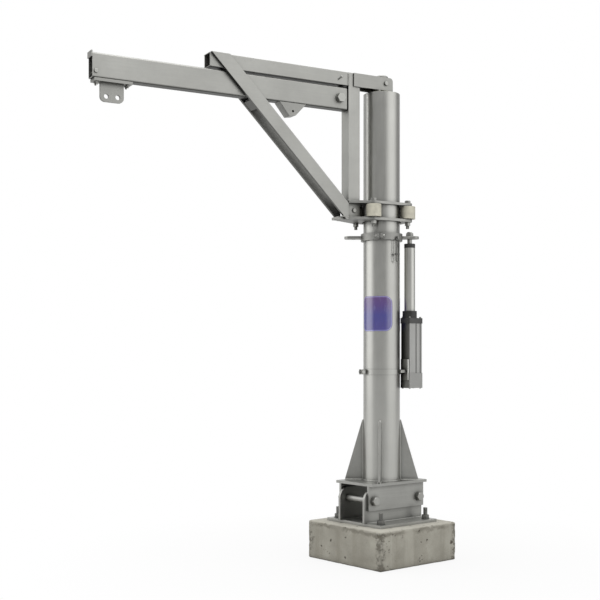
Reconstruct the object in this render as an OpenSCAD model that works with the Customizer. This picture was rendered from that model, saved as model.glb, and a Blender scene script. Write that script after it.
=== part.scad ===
// Davit crane. A mast folds down in a hinged foot that stands on a concrete block, a linear
// actuator raises the upper part of the mast, and a swing frame carries a sliding boom round it.
// Millimetres, +Z up. The origin is on the mast axis at the middle of the block's underside.
// The boom points along boom_angle, measured from +X. In the boom's own frame x runs out along
// the boom, y across it and z up.

/* [Footing] */
// side of the square concrete block
block_w = 480; // [420:5:600]
// height of the concrete block
block_h = 175; // [120:5:250]
// flat cut along the block's upright edges
block_edge = 8; // [2:1:20]
// side of the square base plate
base_w = 355; // [350:5:400]
// thickness of the base plate, the hinge plates and the roller collar's plates
plate_t = 12; // [8:1:16]
// distance between neighbouring anchors
anchor_pitch = 283; // [270:1:305]
// diameter of the anchor studs
anchor_d = 20; // [16:2:24]
// depth that the studs reach into the block
anchor_depth = 110; // [80:5:115]
// height of the studs above the base plate
anchor_stick = 51; // [40:1:70]

/* [Hinged foot] */
// height of the hinge bolts above the base plate
pivot_h = 99; // [92:1:120]
// distance of each hinge bolt from the mast axis
pivot_x = 140; // [130:1:145]
// diameter of the hinge bolts and of the boom's rear bolt
main_bolt_d = 24; // [20:2:27]
// outer width of the lower hinge cheeks
cheek_w = 172; // [150:2:190]
// radius of the lower cheeks' round end
cheek_r = 50; // [40:1:60]
// length that the saddle reaches past each hinge bolt
saddle_end = 33; // [28:1:45]
// depth of the saddle's side plates below the hinge bolts
saddle_drop = 43; // [30:1:50]
// clear height between the lower cheeks and the saddle's top plate
saddle_clear = 16; // [12:1:30]
// width of the saddle's top plate
saddle_w = 240; // [236:2:280]

/* [Mast] */
// outer diameter of the mast tube
mast_d = 168.3; // [159:0.1:178]
// wall of the mast tube
mast_wall = 5; // [3:0.5:8]
// length of the lower mast
lower_mast_l = 1096; // [1000:2:1200]
// length of the upper mast
upper_mast_l = 674; // [600:2:760]
// reach of the gussets from the mast axis
gusset_reach = 168; // [150:1:172]
// height of the gussets
gusset_h = 272; // [200:2:320]
// thickness of the gussets
gusset_t = 10; // [6:1:14]
// direction of the gussets, to each side of the foot's long axis
gusset_angle = 42; // [35:1:43]

/* [Ear collar and actuator] */
// direction of the ear that holds the actuator
ear_angle = -40; // [-45:1:-35]
// distance from the mast's surface to the hole in each ear
ear_gap = 45; // [43:1:55]
// distance from the hole in each ear to the ear's end
ear_end = 42.5; // [35:0.5:55]
// width of each ear
ear_w = 50; // [44:2:60]
// thickness of each ear
ear_t = 12; // [8:1:16]
// thickness of the split collar round the mast
collar_wall = 11.5; // [8:0.5:16]
// height of the split collar
collar_h = 33; // [30:1:40]
// outer diameter of the actuator's tube
act_tube_d = 50; // [44:1:54]
// diameter of the actuator's rod
act_rod_d = 22; // [21:1:26]
// side of the actuator body that faces across the foot
act_body_w = 82; // [80:1:90]
// depth of the actuator body
act_body_d = 57.6; // [54:0.2:60]

/* [Roller collar] */
// outer diameter of the rollers
roller_d = 70; // [64:1:80]
// direction of the rollers, to each side of the boom
roller_angle = 38.9; // [37.5:0.1:45]
// height of the lower collar plate above the joint of the mast
collar_up = 86; // [80:2:120]
// clear height between the collar plates
collar_gap = 62; // [56:1:80]
// diameter of the roller bolts
roller_bolt_d = 16; // [12:2:20]

/* [Swing frame] */
// direction of the boom
boom_angle = 169.5; // [150:0.5:180]
// side of the square tubes of the frame
frame_tube = 60; // [56:2:80]
// wall of the square tubes and of the boom
tube_wall = 4; // [3:0.5:6]
// distance from the mast axis to the post's inner face
post_in = 138; // [134:1:150]
// clear height between the mast's top and the underside of the top beam
head_gap = 14; // [12:1:30]
// distance from the mast axis to the outer end of the top beam
beam_reach = 880; // [780:5:960]
// width of the flat-bar braces
brace_w = 60; // [40:2:80]
// thickness of the braces
brace_t = 12; // [8:1:16]

/* [Boom] */
// height of the boom's cross-section
boom_h = 100; // [80:5:120]
// width of the boom's cross-section
boom_w = 50; // [44:2:54]
// clear height between the boom and the top beam
boom_gap = 9; // [6:1:20]
// distance from the mast axis to the boom's tip
boom_reach = 1388; // [1200:4:1600]
// distance from the boom's rear end to its rear bolt
rear_bolt_in = 37; // [30:1:50]
// distance from the boom's tip to the middle of the hanger
hanger_back = 88; // [84:1:140]

/* [Hidden] */
$fn = 64;

// colours
c_steel = [0.67, 0.67, 0.65];
c_bright = [0.78, 0.78, 0.76];
c_dark = [0.16, 0.16, 0.15];
c_concrete = [0.58, 0.57, 0.53];
c_nylon = [0.78, 0.77, 0.69];
c_bronze = [0.66, 0.52, 0.32];

// fits: play of a running pin or bush and of a bolt in its hole, measured on the radius, the
// gap between faces that move past each other, and the play between faces that only touch
run_play = 0.05;
bolt_play = 0.05;
body_gap = 0.3;
seat_play = 0.02;
// length that a cut runs past the face that it leaves
over = 1;

// bolts: width across flats, head height and nut height as shares of the diameter
function flats(d) = 1.5 * d;
function head_h(d) = 0.63 * d;
function nut_h(d) = 0.8 * d;
washer_t = 3;
washer_play = 0.5;
small_d = 10;
collar_screw_d = 8;
frame_bolt_d = 12;
// length of the shank past a nut
shank_end = 6;

// foot
base_top = block_h + plate_t;
pivot_z = base_top + pivot_h;
main_r = main_bolt_d / 2;
main_washer_r = main_r + 10;
cheek_out = cheek_w / 2;
cheek_end = 34;
cheek_top = pivot_z + cheek_r;
notch_play = 0.1;
notch_lean_out = 1;
notch_lean_in = 7;
saddle_half = pivot_x + saddle_end;
saddle_in = cheek_out + 0.5;
saddle_out = saddle_in + plate_t;
saddle_top = cheek_top + saddle_clear;
mast_foot = saddle_top + plate_t;
anchor_at = anchor_pitch / 2;
anchor_washer_r = anchor_d / 2 + 8.5;

// mast
mast_r = mast_d / 2;
mast_in = mast_r - mast_wall;
joint_z = mast_foot + lower_mast_l;
lower_top = joint_z - body_gap;
mast_top = joint_z + upper_mast_l;
gusset_tip = 6;
guide_room = 2.15;
guide_r = mast_in - guide_room;
guide_wall = 5;
guide_drop = 300;
guide_up = 160;
guide_low = joint_z - guide_drop;
guide_high = joint_z + guide_up;
guide_ring_h = 20;
guide_ring_up = 6;
bush_h = 40;
bush_up = 5;

// band clamp
band_t = 2.7;
band_h = 23;
band_drop = 611;
band_low = joint_z - band_drop;
band_r = mast_r + seat_play + band_t;
band_angle = 165;
band_gap = 6;
band_lug_t = 4;
band_lug_reach = mast_r + 28;
band_bolt_x = mast_r + 18;

// actuator: places along the mast are measured down from its joint
act_r = mast_r + ear_gap;
act_x = act_r * cos(ear_angle);
act_y = act_r * sin(ear_angle);
act_half = act_body_d / 2;
act_box_drop = 674;
act_box_h = 69;
act_body_l = 228;
act_flange_t = 25;
act_collar_h = 32;
act_tube_drop = 30;
act_cap_h = 19;
act_box_low = joint_z - act_box_drop;
act_body_low = act_box_low + act_box_h;
act_body_top = act_body_low + act_body_l;
act_flange_top = act_body_top + act_flange_t;
act_collar_top = act_flange_top + act_collar_h;
act_tube_top = joint_z - act_tube_drop;
act_cap_top = act_tube_top + act_cap_h;
act_edge_r = 4;
box_grow = 1.8;
act_collar_r = act_tube_d / 2 + 8;
act_tube_r = act_tube_d / 2;
act_bore_r = act_tube_r - 4;
act_rod_r = act_rod_d / 2;
groove_w = 5;
groove_depth = 3;
groove_in = 10;
groove_pitch = 27;
groove_x = [groove_in, groove_in + groove_pitch];
motor_r = 20;
motor_wall = 2.2;
motor_x = act_body_w - act_half - motor_r - motor_wall;
motor_up = 5;
motor_shaft_r = 3;
screw_r = 6.95;
screw_hole_r = 8.5;
screw_up = 20;
screw_end = 30;
screw_low = act_box_low + screw_up;
screw_top = act_tube_top - screw_end;
gear_floor_up = 34;
gear_up = 52;
gear_floor = act_box_low + gear_floor_up;
gear_low = act_box_low + gear_up;
gear_h = 12;
screw_gear_r = 20;
motor_gear_r = motor_x - screw_gear_r - body_gap;
bearing_pocket_h = 14;
screw_bearing_r = 16;
bracket_sheet = 5;
bracket_drop = 38;
bracket_h = 97;
bracket_w = 43;
bracket_arm_w = 18;
bracket_arm_h = 14;

// ear collar, actuator rod and snap link
collar_r = mast_r + collar_wall;
ear_hole_r = act_r;
ear_reach = ear_hole_r + ear_end;
ear_low = joint_z + 11;
ear_top = ear_low + ear_t;
rod_stud_d = 20;
rod_drop = 276;
rod_low = joint_z - rod_drop;
rod_bore_top = screw_top + 12;
drive_nut_low = rod_low - 34;
dome_h = 5;
split_angle = 222;
split_gap = 3;
split_lug_reach = collar_r + 14.4;
split_lug_t = 14;
split_lug_h = 20;
split_screw_x = collar_r + 6.5;
clip_angle = -90;
clip_x = collar_r + 6.4;
clip_z = joint_z + 9;
clip_hole_r = 3.2;
clip_wire_r = 2;
clip_bend_r = 8;
clip_len = 92;
clip_hang = 0.8;

// head of the mast
half = frame_tube / 2;
plug_h = 20;
bearing_r = 25;
bearing_depth = 30;
flange_r = mast_r - 14;
flange_t = 4;
flange_top = mast_top + flange_t;
plug_bolt_r = mast_r - 26;
spindle_r = 20;
spindle_low = mast_top - 44;
hub_r = half - 0.2;
cap_r = half - 0.5;
cap_t = 12;
cap_edge = 4;
cap_stem_r = 11.9;

// swing frame
post_mid = post_in + half;
post_out = post_in + frame_tube;
beam_low = mast_top + head_gap;
frame_top = beam_low + frame_tube;
collar_low = joint_z + collar_up;
plate_low_top = collar_low + plate_t;
plate_up_low = plate_low_top + collar_gap;
plate_up_top = plate_up_low + plate_t;
bracket_t = 6;
bracket_in = frame_top - bracket_t;
bracket_back = -half - 8;
bracket_front = post_in + 34;
bracket_r = 16;
bracket_mouth = 20;
head_bolt_z = beam_low + 32;
stub_bolt_z = plate_low_top + collar_gap / 2;

// the braces lean from brace_foot_x on the lower collar plate to the top beam's outer end
brace_front = post_out + 5;
brace_foot_x = post_out + 17.4;
brace_head_x = beam_reach - 2.6;
brace_angle = atan2(frame_top - collar_low, brace_head_x - brace_foot_x);
function brace_x(z) = brace_foot_x + (z - collar_low) / tan(brace_angle);
brace_head_w = brace_w / sin(brace_angle);
brace_upright_w = brace_w / cos(brace_angle);

// roller collar
roller_r = roller_d / 2;
roller_at_r = mast_r + body_gap + roller_r;
roller_x = roller_at_r * cos(roller_angle);
roller_y = roller_at_r * sin(roller_angle);
roller_bolt_r = roller_bolt_d / 2;
sleeve_r = roller_bolt_r + 2;
roller_side_gap = 2.5;
roller_h = collar_gap - 2 * roller_side_gap;
roller_washer_t = roller_side_gap - body_gap;
roller_washer_r = sleeve_r + 7;
roller_bolt_end = 30;
plate_corner_r = 20;
plate_hole_r = mast_r + 5.85;
plate_nose_x = post_out + 5;
plate_tongue_x = post_out + 52;
nose_half = half + brace_t;

// boom
boom_rear = post_out + 5;
boom_top = beam_low - boom_gap;
boom_low = boom_top - boom_h;
boom_mid = boom_low + boom_h / 2;
boom_half = boom_w / 2;
boom_corner = 7;
rear_bolt_x = boom_rear + rear_bolt_in;
rear_plate_half = 6;
rear_plate_end = 22;
rear_plate_h = 50;
rear_sleeve_r = main_r + 5;
rest_top = boom_low - 3;
rest_low = rest_top - plate_t;
rest_x = brace_x(rest_low);
rest_bar_l = 50;
rest_slant_l = 46;
rest_pad_l = 40;
pad_half = boom_half - 1;
pad_t = boom_gap - body_gap;
rear_pad_l = 18;
front_pad_l = 60;
front_pad_x = beam_reach - 142;
// stop lug: its side view from its inner end at (0, 0), and its hollow
stop_x = rest_x - 278.4;
stop_shape = [[0, 0], [51, -53], [82, -58], [130, 0]];
stop_hollow = [[8, 1], [54, -48], [79, -52], [124, 1]];
stop_wall = 5;
stop_hole = [65, -36];
lip_t = 5;
lip_low = 18;
lip_high = 7;
hanger_x = boom_reach - hanger_back;
hanger_t = 12;
hanger_l = 161;
hanger_bolt_x = 64.5;
hanger_bolt_y = boom_half - 14;
hanger_plate_l = 99;
hanger_plate_h = 76;
hanger_plate_r = 20;
hanger_pitch = 48;
hanger_hole_r = 10;
hanger_hole_up = 22;
tip_bolt_x = boom_reach - 14;
tip_bolt_z = boom_low + 26;

// helpers

module on_boom() {
    rotate([0, 0, boom_angle]) children();
}

// a plate drawn in x and z, from y = low to y = high
module slab(low, high) {
    translate([0, high, 0]) rotate([90, 0, 0]) linear_extrude(high - low) children();
}

// turn +z towards +y and towards -y
module to_plus_y() {
    rotate([-90, 0, 0]) children();
}

module to_minus_y() {
    rotate([90, 0, 0]) children();
}

// its children, and the same on the other side of y = 0
module both_sides() {
    for (side = [0, 1]) mirror([0, side, 0]) children();
}

module hexagon_bar(across, h) {
    cylinder(d = across / cos(30), h = h, $fn = 6);
}

// hexagon bolt: the head stands above z = 0, the shank hangs below
module bolt(d, length) {
    hexagon_bar(flats(d), head_h(d));
    translate([0, 0, -length]) cylinder(d = d, h = length + over);
}

module nut(d, h) {
    difference() {
        hexagon_bar(flats(d), h);
        translate([0, 0, -over]) cylinder(r = d / 2 + seat_play, h = h + 2 * over);
    }
}

module ring(outer, inner, h) {
    difference() {
        cylinder(r = outer, h = h);
        translate([0, 0, -over]) cylinder(r = inner, h = h + 2 * over);
    }
}

module square_tube(length) {
    inner = frame_tube - 2 * tube_wall;
    difference() {
        translate([-half, -half, 0]) cube([frame_tube, frame_tube, length]);
        translate([-inner / 2, -inner / 2, -over]) cube([inner, inner, length + 2 * over]);
    }
}

// a rectangle with round corners, drawn from (0, 0)
module round_rect(w, h, r) {
    translate([r, 0]) square([w - 2 * r, h]);
    translate([0, r]) square([w, h - 2 * r]);
    for (x = [r, w - r], y = [r, h - r]) translate([x, y]) circle(r = r);
}

// a hole for a bolt of this diameter across a width that is centred on y = 0
module cross_hole(x, z, d, width) {
    translate([x, -width / 2 - over, z])
        to_plus_y() cylinder(r = d / 2 + bolt_play, h = width + 2 * over);
}

// a bolt with its nut across the same width
module cross_bolt(x, z, d, width) {
    translate([x, width / 2, z]) to_plus_y() bolt(d, width + nut_h(d) + shank_end);
    translate([x, -width / 2, z]) to_minus_y() nut(d, nut_h(d));
}

module at_anchors() {
    for (x = [-anchor_at, anchor_at], y = [-anchor_at, anchor_at])
        translate([x, y, 0]) children();
}

module at_rollers() {
    for (x = [roller_x, -roller_x], y = [roller_y, -roller_y])
        translate([x, y, 0]) children();
}

// footing

module footing_block() {
    w = block_w / 2;
    e = block_edge;
    color(c_concrete) difference() {
        linear_extrude(block_h) polygon([[w, -w + e], [w, w - e], [w - e, w], [-w + e, w],
            [-w, w - e], [-w, -w + e], [-w + e, -w], [w - e, -w]]);
        at_anchors() translate([0, 0, block_h - anchor_depth])
            cylinder(r = anchor_d / 2 + seat_play, h = anchor_depth + over);
    }
}

module base_plate() {
    color(c_steel) translate([0, 0, block_h]) difference() {
        translate([-base_w / 2, -base_w / 2, 0]) cube([base_w, base_w, plate_t]);
        at_anchors() translate([0, 0, -over])
            cylinder(d = anchor_d + 2, h = plate_t + 2 * over);
    }
}

module anchor_studs() {
    color(c_bright) at_anchors() translate([0, 0, block_h - anchor_depth])
        cylinder(d = anchor_d, h = anchor_depth + plate_t + anchor_stick);
}

module anchor_nuts() {
    color(c_bright) at_anchors() translate([0, 0, base_top]) {
        ring(anchor_washer_r, anchor_d / 2 + washer_play, washer_t);
        translate([0, 0, washer_t]) nut(anchor_d, nut_h(anchor_d));
    }
}

// two plates with a round end: a bore for the pivot bolt, an open notch for the lock bolt
module channel_cheeks() {
    r = main_r + notch_play;
    notch_h = cheek_r + 10;
    color(c_steel) both_sides() slab(cheek_out - plate_t, cheek_out) difference() {
        union() {
            translate([-pivot_x, pivot_z]) circle(r = cheek_r);
            translate([-pivot_x, base_top])
                square([2 * pivot_x + cheek_end, cheek_top - base_top]);
            translate([-pivot_x - cheek_r, base_top]) square([cheek_r, pivot_h]);
        }
        translate([-pivot_x, pivot_z]) circle(r = main_r + run_play);
        translate([pivot_x, pivot_z]) {
            circle(r = r);
            polygon([[-r, 0], [r, 0], [r + notch_lean_out, notch_h],
                [-r - notch_lean_in, notch_h]]);
        }
    }
}

// tilting foot of the mast

module saddle() {
    color(c_steel) {
        translate([-saddle_half, -saddle_w / 2, saddle_top])
            cube([2 * saddle_half, saddle_w, plate_t]);
        both_sides() slab(saddle_in, saddle_out) difference() {
            translate([-saddle_half, pivot_z - saddle_drop])
                square([2 * saddle_half, saddle_top - pivot_z + saddle_drop]);
            for (x = [-pivot_x, pivot_x]) translate([x, pivot_z]) circle(r = main_r + bolt_play);
        }
    }
}

module hinge_bolts() {
    y = saddle_out + washer_t;
    color(c_bright) for (x = [-pivot_x, pivot_x]) translate([x, -y, pivot_z])
        to_minus_y() bolt(main_bolt_d, 2 * y + nut_h(main_bolt_d) + shank_end);
}

module hinge_nuts() {
    color(c_bright) for (x = [-pivot_x, pivot_x]) translate([x, 0, pivot_z]) {
        both_sides() translate([0, saddle_out, 0])
            to_plus_y() ring(main_washer_r, main_r + washer_play, washer_t);
        translate([0, saddle_out + washer_t, 0])
            to_plus_y() nut(main_bolt_d, nut_h(main_bolt_d));
    }
}

module mast_gussets() {
    top = mast_foot + gusset_h;
    color(c_steel) for (a = [-gusset_angle, gusset_angle], half_turn = [0, 180])
        rotate([0, 0, a + half_turn]) slab(-gusset_t / 2, gusset_t / 2) polygon([
            [mast_r, mast_foot], [gusset_reach, mast_foot], [gusset_reach, mast_foot + gusset_tip],
            [mast_r + gusset_tip, top], [mast_r, top]]);
}

module lower_mast() {
    color(c_steel) translate([0, 0, mast_foot]) ring(mast_r, mast_in, lower_top - mast_foot);
}

module mouth_bush() {
    color(c_nylon) translate([0, 0, lower_top - bush_h])
        ring(mast_in - seat_play, guide_r + run_play, bush_h);
}

// band round the lower mast, with two lugs and the screw that draws them together
module clamp_band() {
    screw_z = band_low + band_h / 2;
    width = 2 * (band_gap + band_lug_t);
    color(c_steel) rotate([0, 0, band_angle]) {
        difference() {
            union() {
                difference() {
                    translate([0, 0, band_low]) ring(band_r, mast_r + seat_play, band_h);
                    translate([0, -band_gap, band_low - over])
                        cube([band_r + over, 2 * band_gap, band_h + 2 * over]);
                }
                both_sides() translate([mast_r + 1, band_gap, band_low])
                    cube([band_lug_reach - mast_r - 1, band_lug_t, band_h]);
            }
            cross_hole(band_bolt_x, screw_z, small_d, width);
        }
        cross_bolt(band_bolt_x, screw_z, small_d, width);
    }
}

// actuator, on the lower mast

module act_outline(grow) {
    translate([act_x - act_half - grow, act_y - act_half - grow])
        round_rect(act_body_w + 2 * grow, act_body_d + 2 * grow, act_edge_r);
}

// upright plate on the actuator's side and the arm that is welded to the band
module actuator_bracket() {
    plate_x = act_x - act_half;
    plate_low = act_body_low - bracket_drop + 5;
    arm_x = 30;
    color(c_steel) difference() {
        union() {
            translate([plate_x - bracket_sheet, act_y - bracket_w / 2 + 3, plate_low])
                cube([bracket_sheet, bracket_w, bracket_h]);
            translate([arm_x, act_y - bracket_arm_w + 6, act_body_low + 1])
                cube([plate_x - arm_x - 1, bracket_arm_w, bracket_arm_h]);
        }
        translate([0, 0, plate_low - over])
            cylinder(r = band_r + seat_play, h = bracket_h + 2 * over);
        translate([0, 0, plate_low - over])
            linear_extrude(act_body_low - plate_low + over + seat_play)
            act_outline(box_grow + seat_play);
    }
}

module actuator_body() {
    front = act_y - act_half;
    color(c_steel) translate([0, 0, act_body_low]) linear_extrude(act_body_top - act_body_low)
        difference() {
            act_outline(0);
            translate([act_x, act_y]) circle(r = screw_hole_r);
            translate([act_x + motor_x, act_y]) circle(r = motor_r + 0.2);
            for (x = groove_x) {
                translate([act_x + x, front - over]) square([groove_w, groove_depth + over]);
                translate([act_x + x, front + act_body_d - groove_depth])
                    square([groove_w, groove_depth + over]);
            }
        }
}

module actuator_gearbox() {
    color(c_steel) difference() {
        translate([0, 0, act_box_low])
            linear_extrude(act_body_low - act_box_low) act_outline(box_grow);
        translate([0, 0, gear_floor]) linear_extrude(act_body_low - gear_floor + over) {
            translate([act_x, act_y]) circle(r = screw_gear_r + 1);
            translate([act_x + motor_x, act_y]) circle(r = motor_gear_r + 1);
        }
        translate([act_x, act_y, screw_low])
            cylinder(r = screw_r + run_play, h = gear_floor - screw_low + over);
    }
}

module actuator_flange() {
    color(c_steel) difference() {
        translate([0, 0, act_body_top]) linear_extrude(act_flange_top - act_body_top)
            act_outline(2);
        translate([act_x, act_y, act_body_top - over])
            cylinder(r = screw_hole_r, h = act_flange_top - act_body_top + 2 * over);
        translate([act_x, act_y, act_flange_top - bearing_pocket_h])
            cylinder(r = screw_bearing_r + seat_play, h = bearing_pocket_h + over);
    }
}

module actuator_collar() {
    color(c_dark) translate([act_x, act_y, act_flange_top])
        ring(act_collar_r, act_tube_r + seat_play, act_collar_top - act_flange_top);
}

module actuator_tube() {
    color(c_bright) translate([act_x, act_y, act_flange_top])
        ring(act_tube_r, act_bore_r, act_tube_top - act_flange_top);
}

module actuator_cap() {
    color(c_dark) translate([act_x, act_y, act_tube_top])
        ring(act_tube_r + 0.4, act_rod_r + run_play, act_cap_top - act_tube_top);
}

module actuator_motor() {
    color(c_dark) translate([act_x + motor_x, act_y, 0]) {
        translate([0, 0, act_body_low + motor_up])
            cylinder(r = motor_r, h = act_body_top - act_body_low - motor_up);
        translate([0, 0, gear_low])
            cylinder(r = motor_shaft_r, h = act_body_low + motor_up + over - gear_low);
    }
}

module lead_screw() {
    color(c_bright) translate([act_x, act_y, screw_low])
        cylinder(r = screw_r, h = screw_top - screw_low);
}

// the two gears in the gearbox and the screw's bearing in the flange
module drive_gears() {
    color(c_bronze) {
        translate([act_x, act_y, gear_low]) ring(screw_gear_r, screw_r + seat_play, gear_h);
        translate([act_x + motor_x, act_y, gear_low])
            ring(motor_gear_r, motor_shaft_r + seat_play, gear_h);
        translate([act_x, act_y, act_flange_top - bearing_pocket_h])
            ring(screw_bearing_r, screw_r + seat_play, bearing_pocket_h - 2);
    }
}

// upper mast

module upper_mast() {
    color(c_steel) translate([0, 0, joint_z]) ring(mast_r, mast_in, mast_top - joint_z);
}

// inner tube that slides in the lower mast, with two rings that centre it in the upper mast
module guide_tube() {
    color(c_bright) difference() {
        union() {
            translate([0, 0, guide_low]) cylinder(r = guide_r, h = guide_high - guide_low);
            for (z = [joint_z + guide_ring_up, guide_high - guide_ring_h])
                translate([0, 0, z]) cylinder(r = mast_in - seat_play, h = guide_ring_h);
        }
        translate([0, 0, guide_low - over])
            cylinder(r = guide_r - guide_wall, h = guide_high - guide_low + 2 * over);
    }
}

module guide_bush() {
    color(c_nylon) translate([0, 0, guide_low + bush_up])
        ring(mast_in - run_play, guide_r + seat_play, bush_h);
}

// eye for the snap link, on one half of the split collar
module clip_eye() {
    eye_w = 4;
    eye_h = 14;
    translate([collar_r - 2, -eye_w / 2, clip_z - eye_h / 2]) cube([eye_h, eye_w, eye_h]);
}

// split collar: two halves with lugs at the splits, one of them with the eye for the snap link
module collar_halves() {
    lug_z = joint_z + (collar_h - split_lug_h) / 2;
    screw_z = joint_z + collar_h / 2;
    root = mast_r + 3;
    far = collar_r + 20;
    color(c_steel) for (turn = [0, 180]) rotate([0, 0, split_angle + turn]) difference() {
        union() {
            translate([0, 0, joint_z]) cylinder(r = collar_r, h = collar_h);
            for (side = [0, 1]) mirror([side, 0, 0]) translate([root, 0, lug_z])
                cube([split_lug_reach - root, split_gap / 2 + split_lug_t, split_lug_h]);
            if (turn == 0) rotate([0, 0, clip_angle - split_angle]) clip_eye();
        }
        translate([0, 0, joint_z - over])
            cylinder(r = mast_r + seat_play, h = collar_h + 2 * over);
        translate([-far, -far, joint_z - over])
            cube([2 * far, far + split_gap / 2, collar_h + 2 * over]);
        for (x = [-split_screw_x, split_screw_x])
            cross_hole(x, screw_z, collar_screw_d, split_gap + 2 * split_lug_t);
        if (turn == 0) rotate([0, 0, clip_angle - split_angle]) translate([clip_x, 5, clip_z])
            to_minus_y() cylinder(r = clip_hole_r, h = 10);
    }
}

module collar_screws() {
    color(c_bright) for (turn = [0, 180]) rotate([0, 0, split_angle + turn]) cross_bolt(
        split_screw_x, joint_z + collar_h / 2, collar_screw_d, split_gap + 2 * split_lug_t);
}

module lift_ears() {
    root = collar_r - 10;
    color(c_steel) for (turn = [0, 180]) rotate([0, 0, ear_angle + turn])
        translate([0, 0, ear_low]) linear_extrude(ear_t) difference() {
            union() {
                translate([root, -ear_w / 2]) square([ear_reach - root - ear_w / 2, ear_w]);
                translate([ear_reach - ear_w / 2, 0]) circle(d = ear_w);
            }
            circle(r = collar_r + seat_play, $fn = 96);
            translate([ear_hole_r, 0]) circle(r = rod_stud_d / 2 + bolt_play);
        }
}

// hollow rod with a stud on its upper end
module actuator_rod() {
    stud_top = ear_top + washer_t + nut_h(rod_stud_d);
    color(c_bright) translate([act_x, act_y, 0]) difference() {
        union() {
            translate([0, 0, rod_low]) cylinder(r = act_rod_r, h = ear_low - rod_low);
            translate([0, 0, ear_low - over])
                cylinder(d = rod_stud_d, h = stud_top - ear_low + over);
        }
        translate([0, 0, rod_low - over])
            cylinder(r = screw_r + 0.35, h = rod_bore_top - rod_low + over);
    }
}

module drive_nut() {
    color(c_bronze) translate([act_x, act_y, drive_nut_low])
        ring(act_bore_r - 0.1, screw_r + 0.1, rod_low - drive_nut_low);
}

// washer and domed nut on the rod's stud
module rod_nut() {
    hexagon_h = 12;
    color(c_bright) translate([act_x, act_y, ear_top]) {
        ring(rod_stud_d / 2 + 8.5, rod_stud_d / 2 + washer_play, washer_t);
        translate([0, 0, washer_t]) difference() {
            union() {
                hexagon_bar(flats(rod_stud_d), hexagon_h);
                translate([0, 0, hexagon_h]) cylinder(r1 = 14.5, r2 = 11, h = dome_h);
            }
            translate([0, 0, -over])
                cylinder(r = rod_stud_d / 2 + seat_play, h = hexagon_h + dome_h + 2 * over);
        }
    }
}

module at_plug_bolts() {
    for (a = [45:90:315]) rotate([0, 0, boom_angle + a]) translate([plug_bolt_r, 0, 0]) children();
}

module top_plug() {
    low = mast_top - plug_h;
    color(c_steel) difference() {
        translate([0, 0, low]) cylinder(r = mast_in - seat_play, h = plug_h);
        translate([0, 0, low - over]) cylinder(r = bearing_r + seat_play, h = plug_h + 2 * over);
        at_plug_bolts() translate([0, 0, low - over])
            cylinder(r = small_d / 2 + bolt_play, h = plug_h + 2 * over);
    }
}

module plug_bolts() {
    color(c_bright) at_plug_bolts() translate([0, 0, flange_top])
        bolt(small_d, flange_t + plug_h - 2);
}

// flanged bush that the spindle turns in
module head_bearing() {
    low = mast_top - bearing_depth;
    color(c_bronze) difference() {
        union() {
            translate([0, 0, low]) cylinder(r = bearing_r, h = bearing_depth + over);
            translate([0, 0, mast_top]) cylinder(r = flange_r, h = flange_t);
        }
        translate([0, 0, low - over])
            cylinder(r = spindle_r + run_play, h = flange_top - low + 2 * over);
        at_plug_bolts() translate([0, 0, mast_top - over])
            cylinder(r = small_d / 2 + bolt_play, h = flange_t + 2 * over);
    }
}

// swing frame

// upright tube, the strip that closes it under the bracket, and its foot between the plates
module frame_post() {
    color(c_steel) on_boom() {
        translate([post_mid, 0, plate_up_top]) square_tube(bracket_in - plate_up_top);
        translate([bracket_front, -half, bracket_in])
            cube([post_out - bracket_front, frame_tube, bracket_t]);
        difference() {
            translate([post_mid, 0, plate_low_top]) square_tube(collar_gap);
            cross_hole(post_mid, stub_bolt_z, frame_bolt_d, frame_tube);
        }
    }
}

module top_beam() {
    color(c_steel) on_boom() translate([post_out, 0, beam_low + half])
        rotate([0, 90, 0]) square_tube(beam_reach - post_out);
}

module bracket_profile(back, top, r) {
    translate([back + r, beam_low]) square([bracket_front - back - r, top - beam_low]);
    translate([back, beam_low]) square([r, top - beam_low - r]);
    translate([back + r, top - r]) circle(r = r);
}

// channel over the mast's head, folded down and rounded at its free end
module top_bracket() {
    inner_back = bracket_back + bracket_t;
    post_room = post_in + bracket_t;
    color(c_steel) on_boom() difference() {
        slab(-half - bracket_t, half + bracket_t)
            bracket_profile(bracket_back, frame_top, bracket_r);
        slab(-half, half) {
            bracket_profile(inner_back, bracket_in, bracket_r - bracket_t);
            translate([inner_back, beam_low - over])
                square([bracket_front - inner_back + over, bracket_mouth + over]);
            translate([post_room, beam_low - over])
                square([bracket_front - post_room + over, bracket_in - beam_low + over]);
        }
        cross_hole(0, head_bolt_z, frame_bolt_d, frame_tube + 2 * bracket_t);
        translate([0, 0, bracket_in - over])
            cylinder(r = cap_stem_r + 0.1, h = bracket_t + 2 * over);
    }
}

module spindle() {
    hub_low = flange_top + body_gap;
    hub_edge = bracket_r - bracket_t + 1;
    hub_top = bracket_in - hub_edge;
    color(c_bright) on_boom() difference() {
        union() {
            translate([0, 0, spindle_low])
                cylinder(r = spindle_r, h = hub_low - spindle_low + over);
            translate([0, 0, hub_low]) cylinder(r = hub_r, h = hub_top - hub_low);
            translate([0, 0, hub_top])
                cylinder(r1 = hub_r, r2 = hub_r - hub_edge, h = hub_edge);
        }
        cross_hole(0, head_bolt_z, frame_bolt_d, 2 * hub_r);
    }
}

module spindle_cap() {
    color(c_steel) {
        translate([0, 0, frame_top]) cylinder(r = cap_r, h = cap_t - cap_edge);
        translate([0, 0, frame_top + cap_t - cap_edge])
            cylinder(r1 = cap_r, r2 = cap_r - cap_edge, h = cap_edge);
        translate([0, 0, bracket_in]) cylinder(r = cap_stem_r, h = bracket_t + over);
    }
}

// one through the post's foot, one through the head bracket and the spindle
module frame_bolts() {
    color(c_bright) on_boom() {
        cross_bolt(post_mid, stub_bolt_z, frame_bolt_d, frame_tube);
        cross_bolt(0, head_bolt_z, frame_bolt_d, frame_tube + 2 * bracket_t);
    }
}

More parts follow.
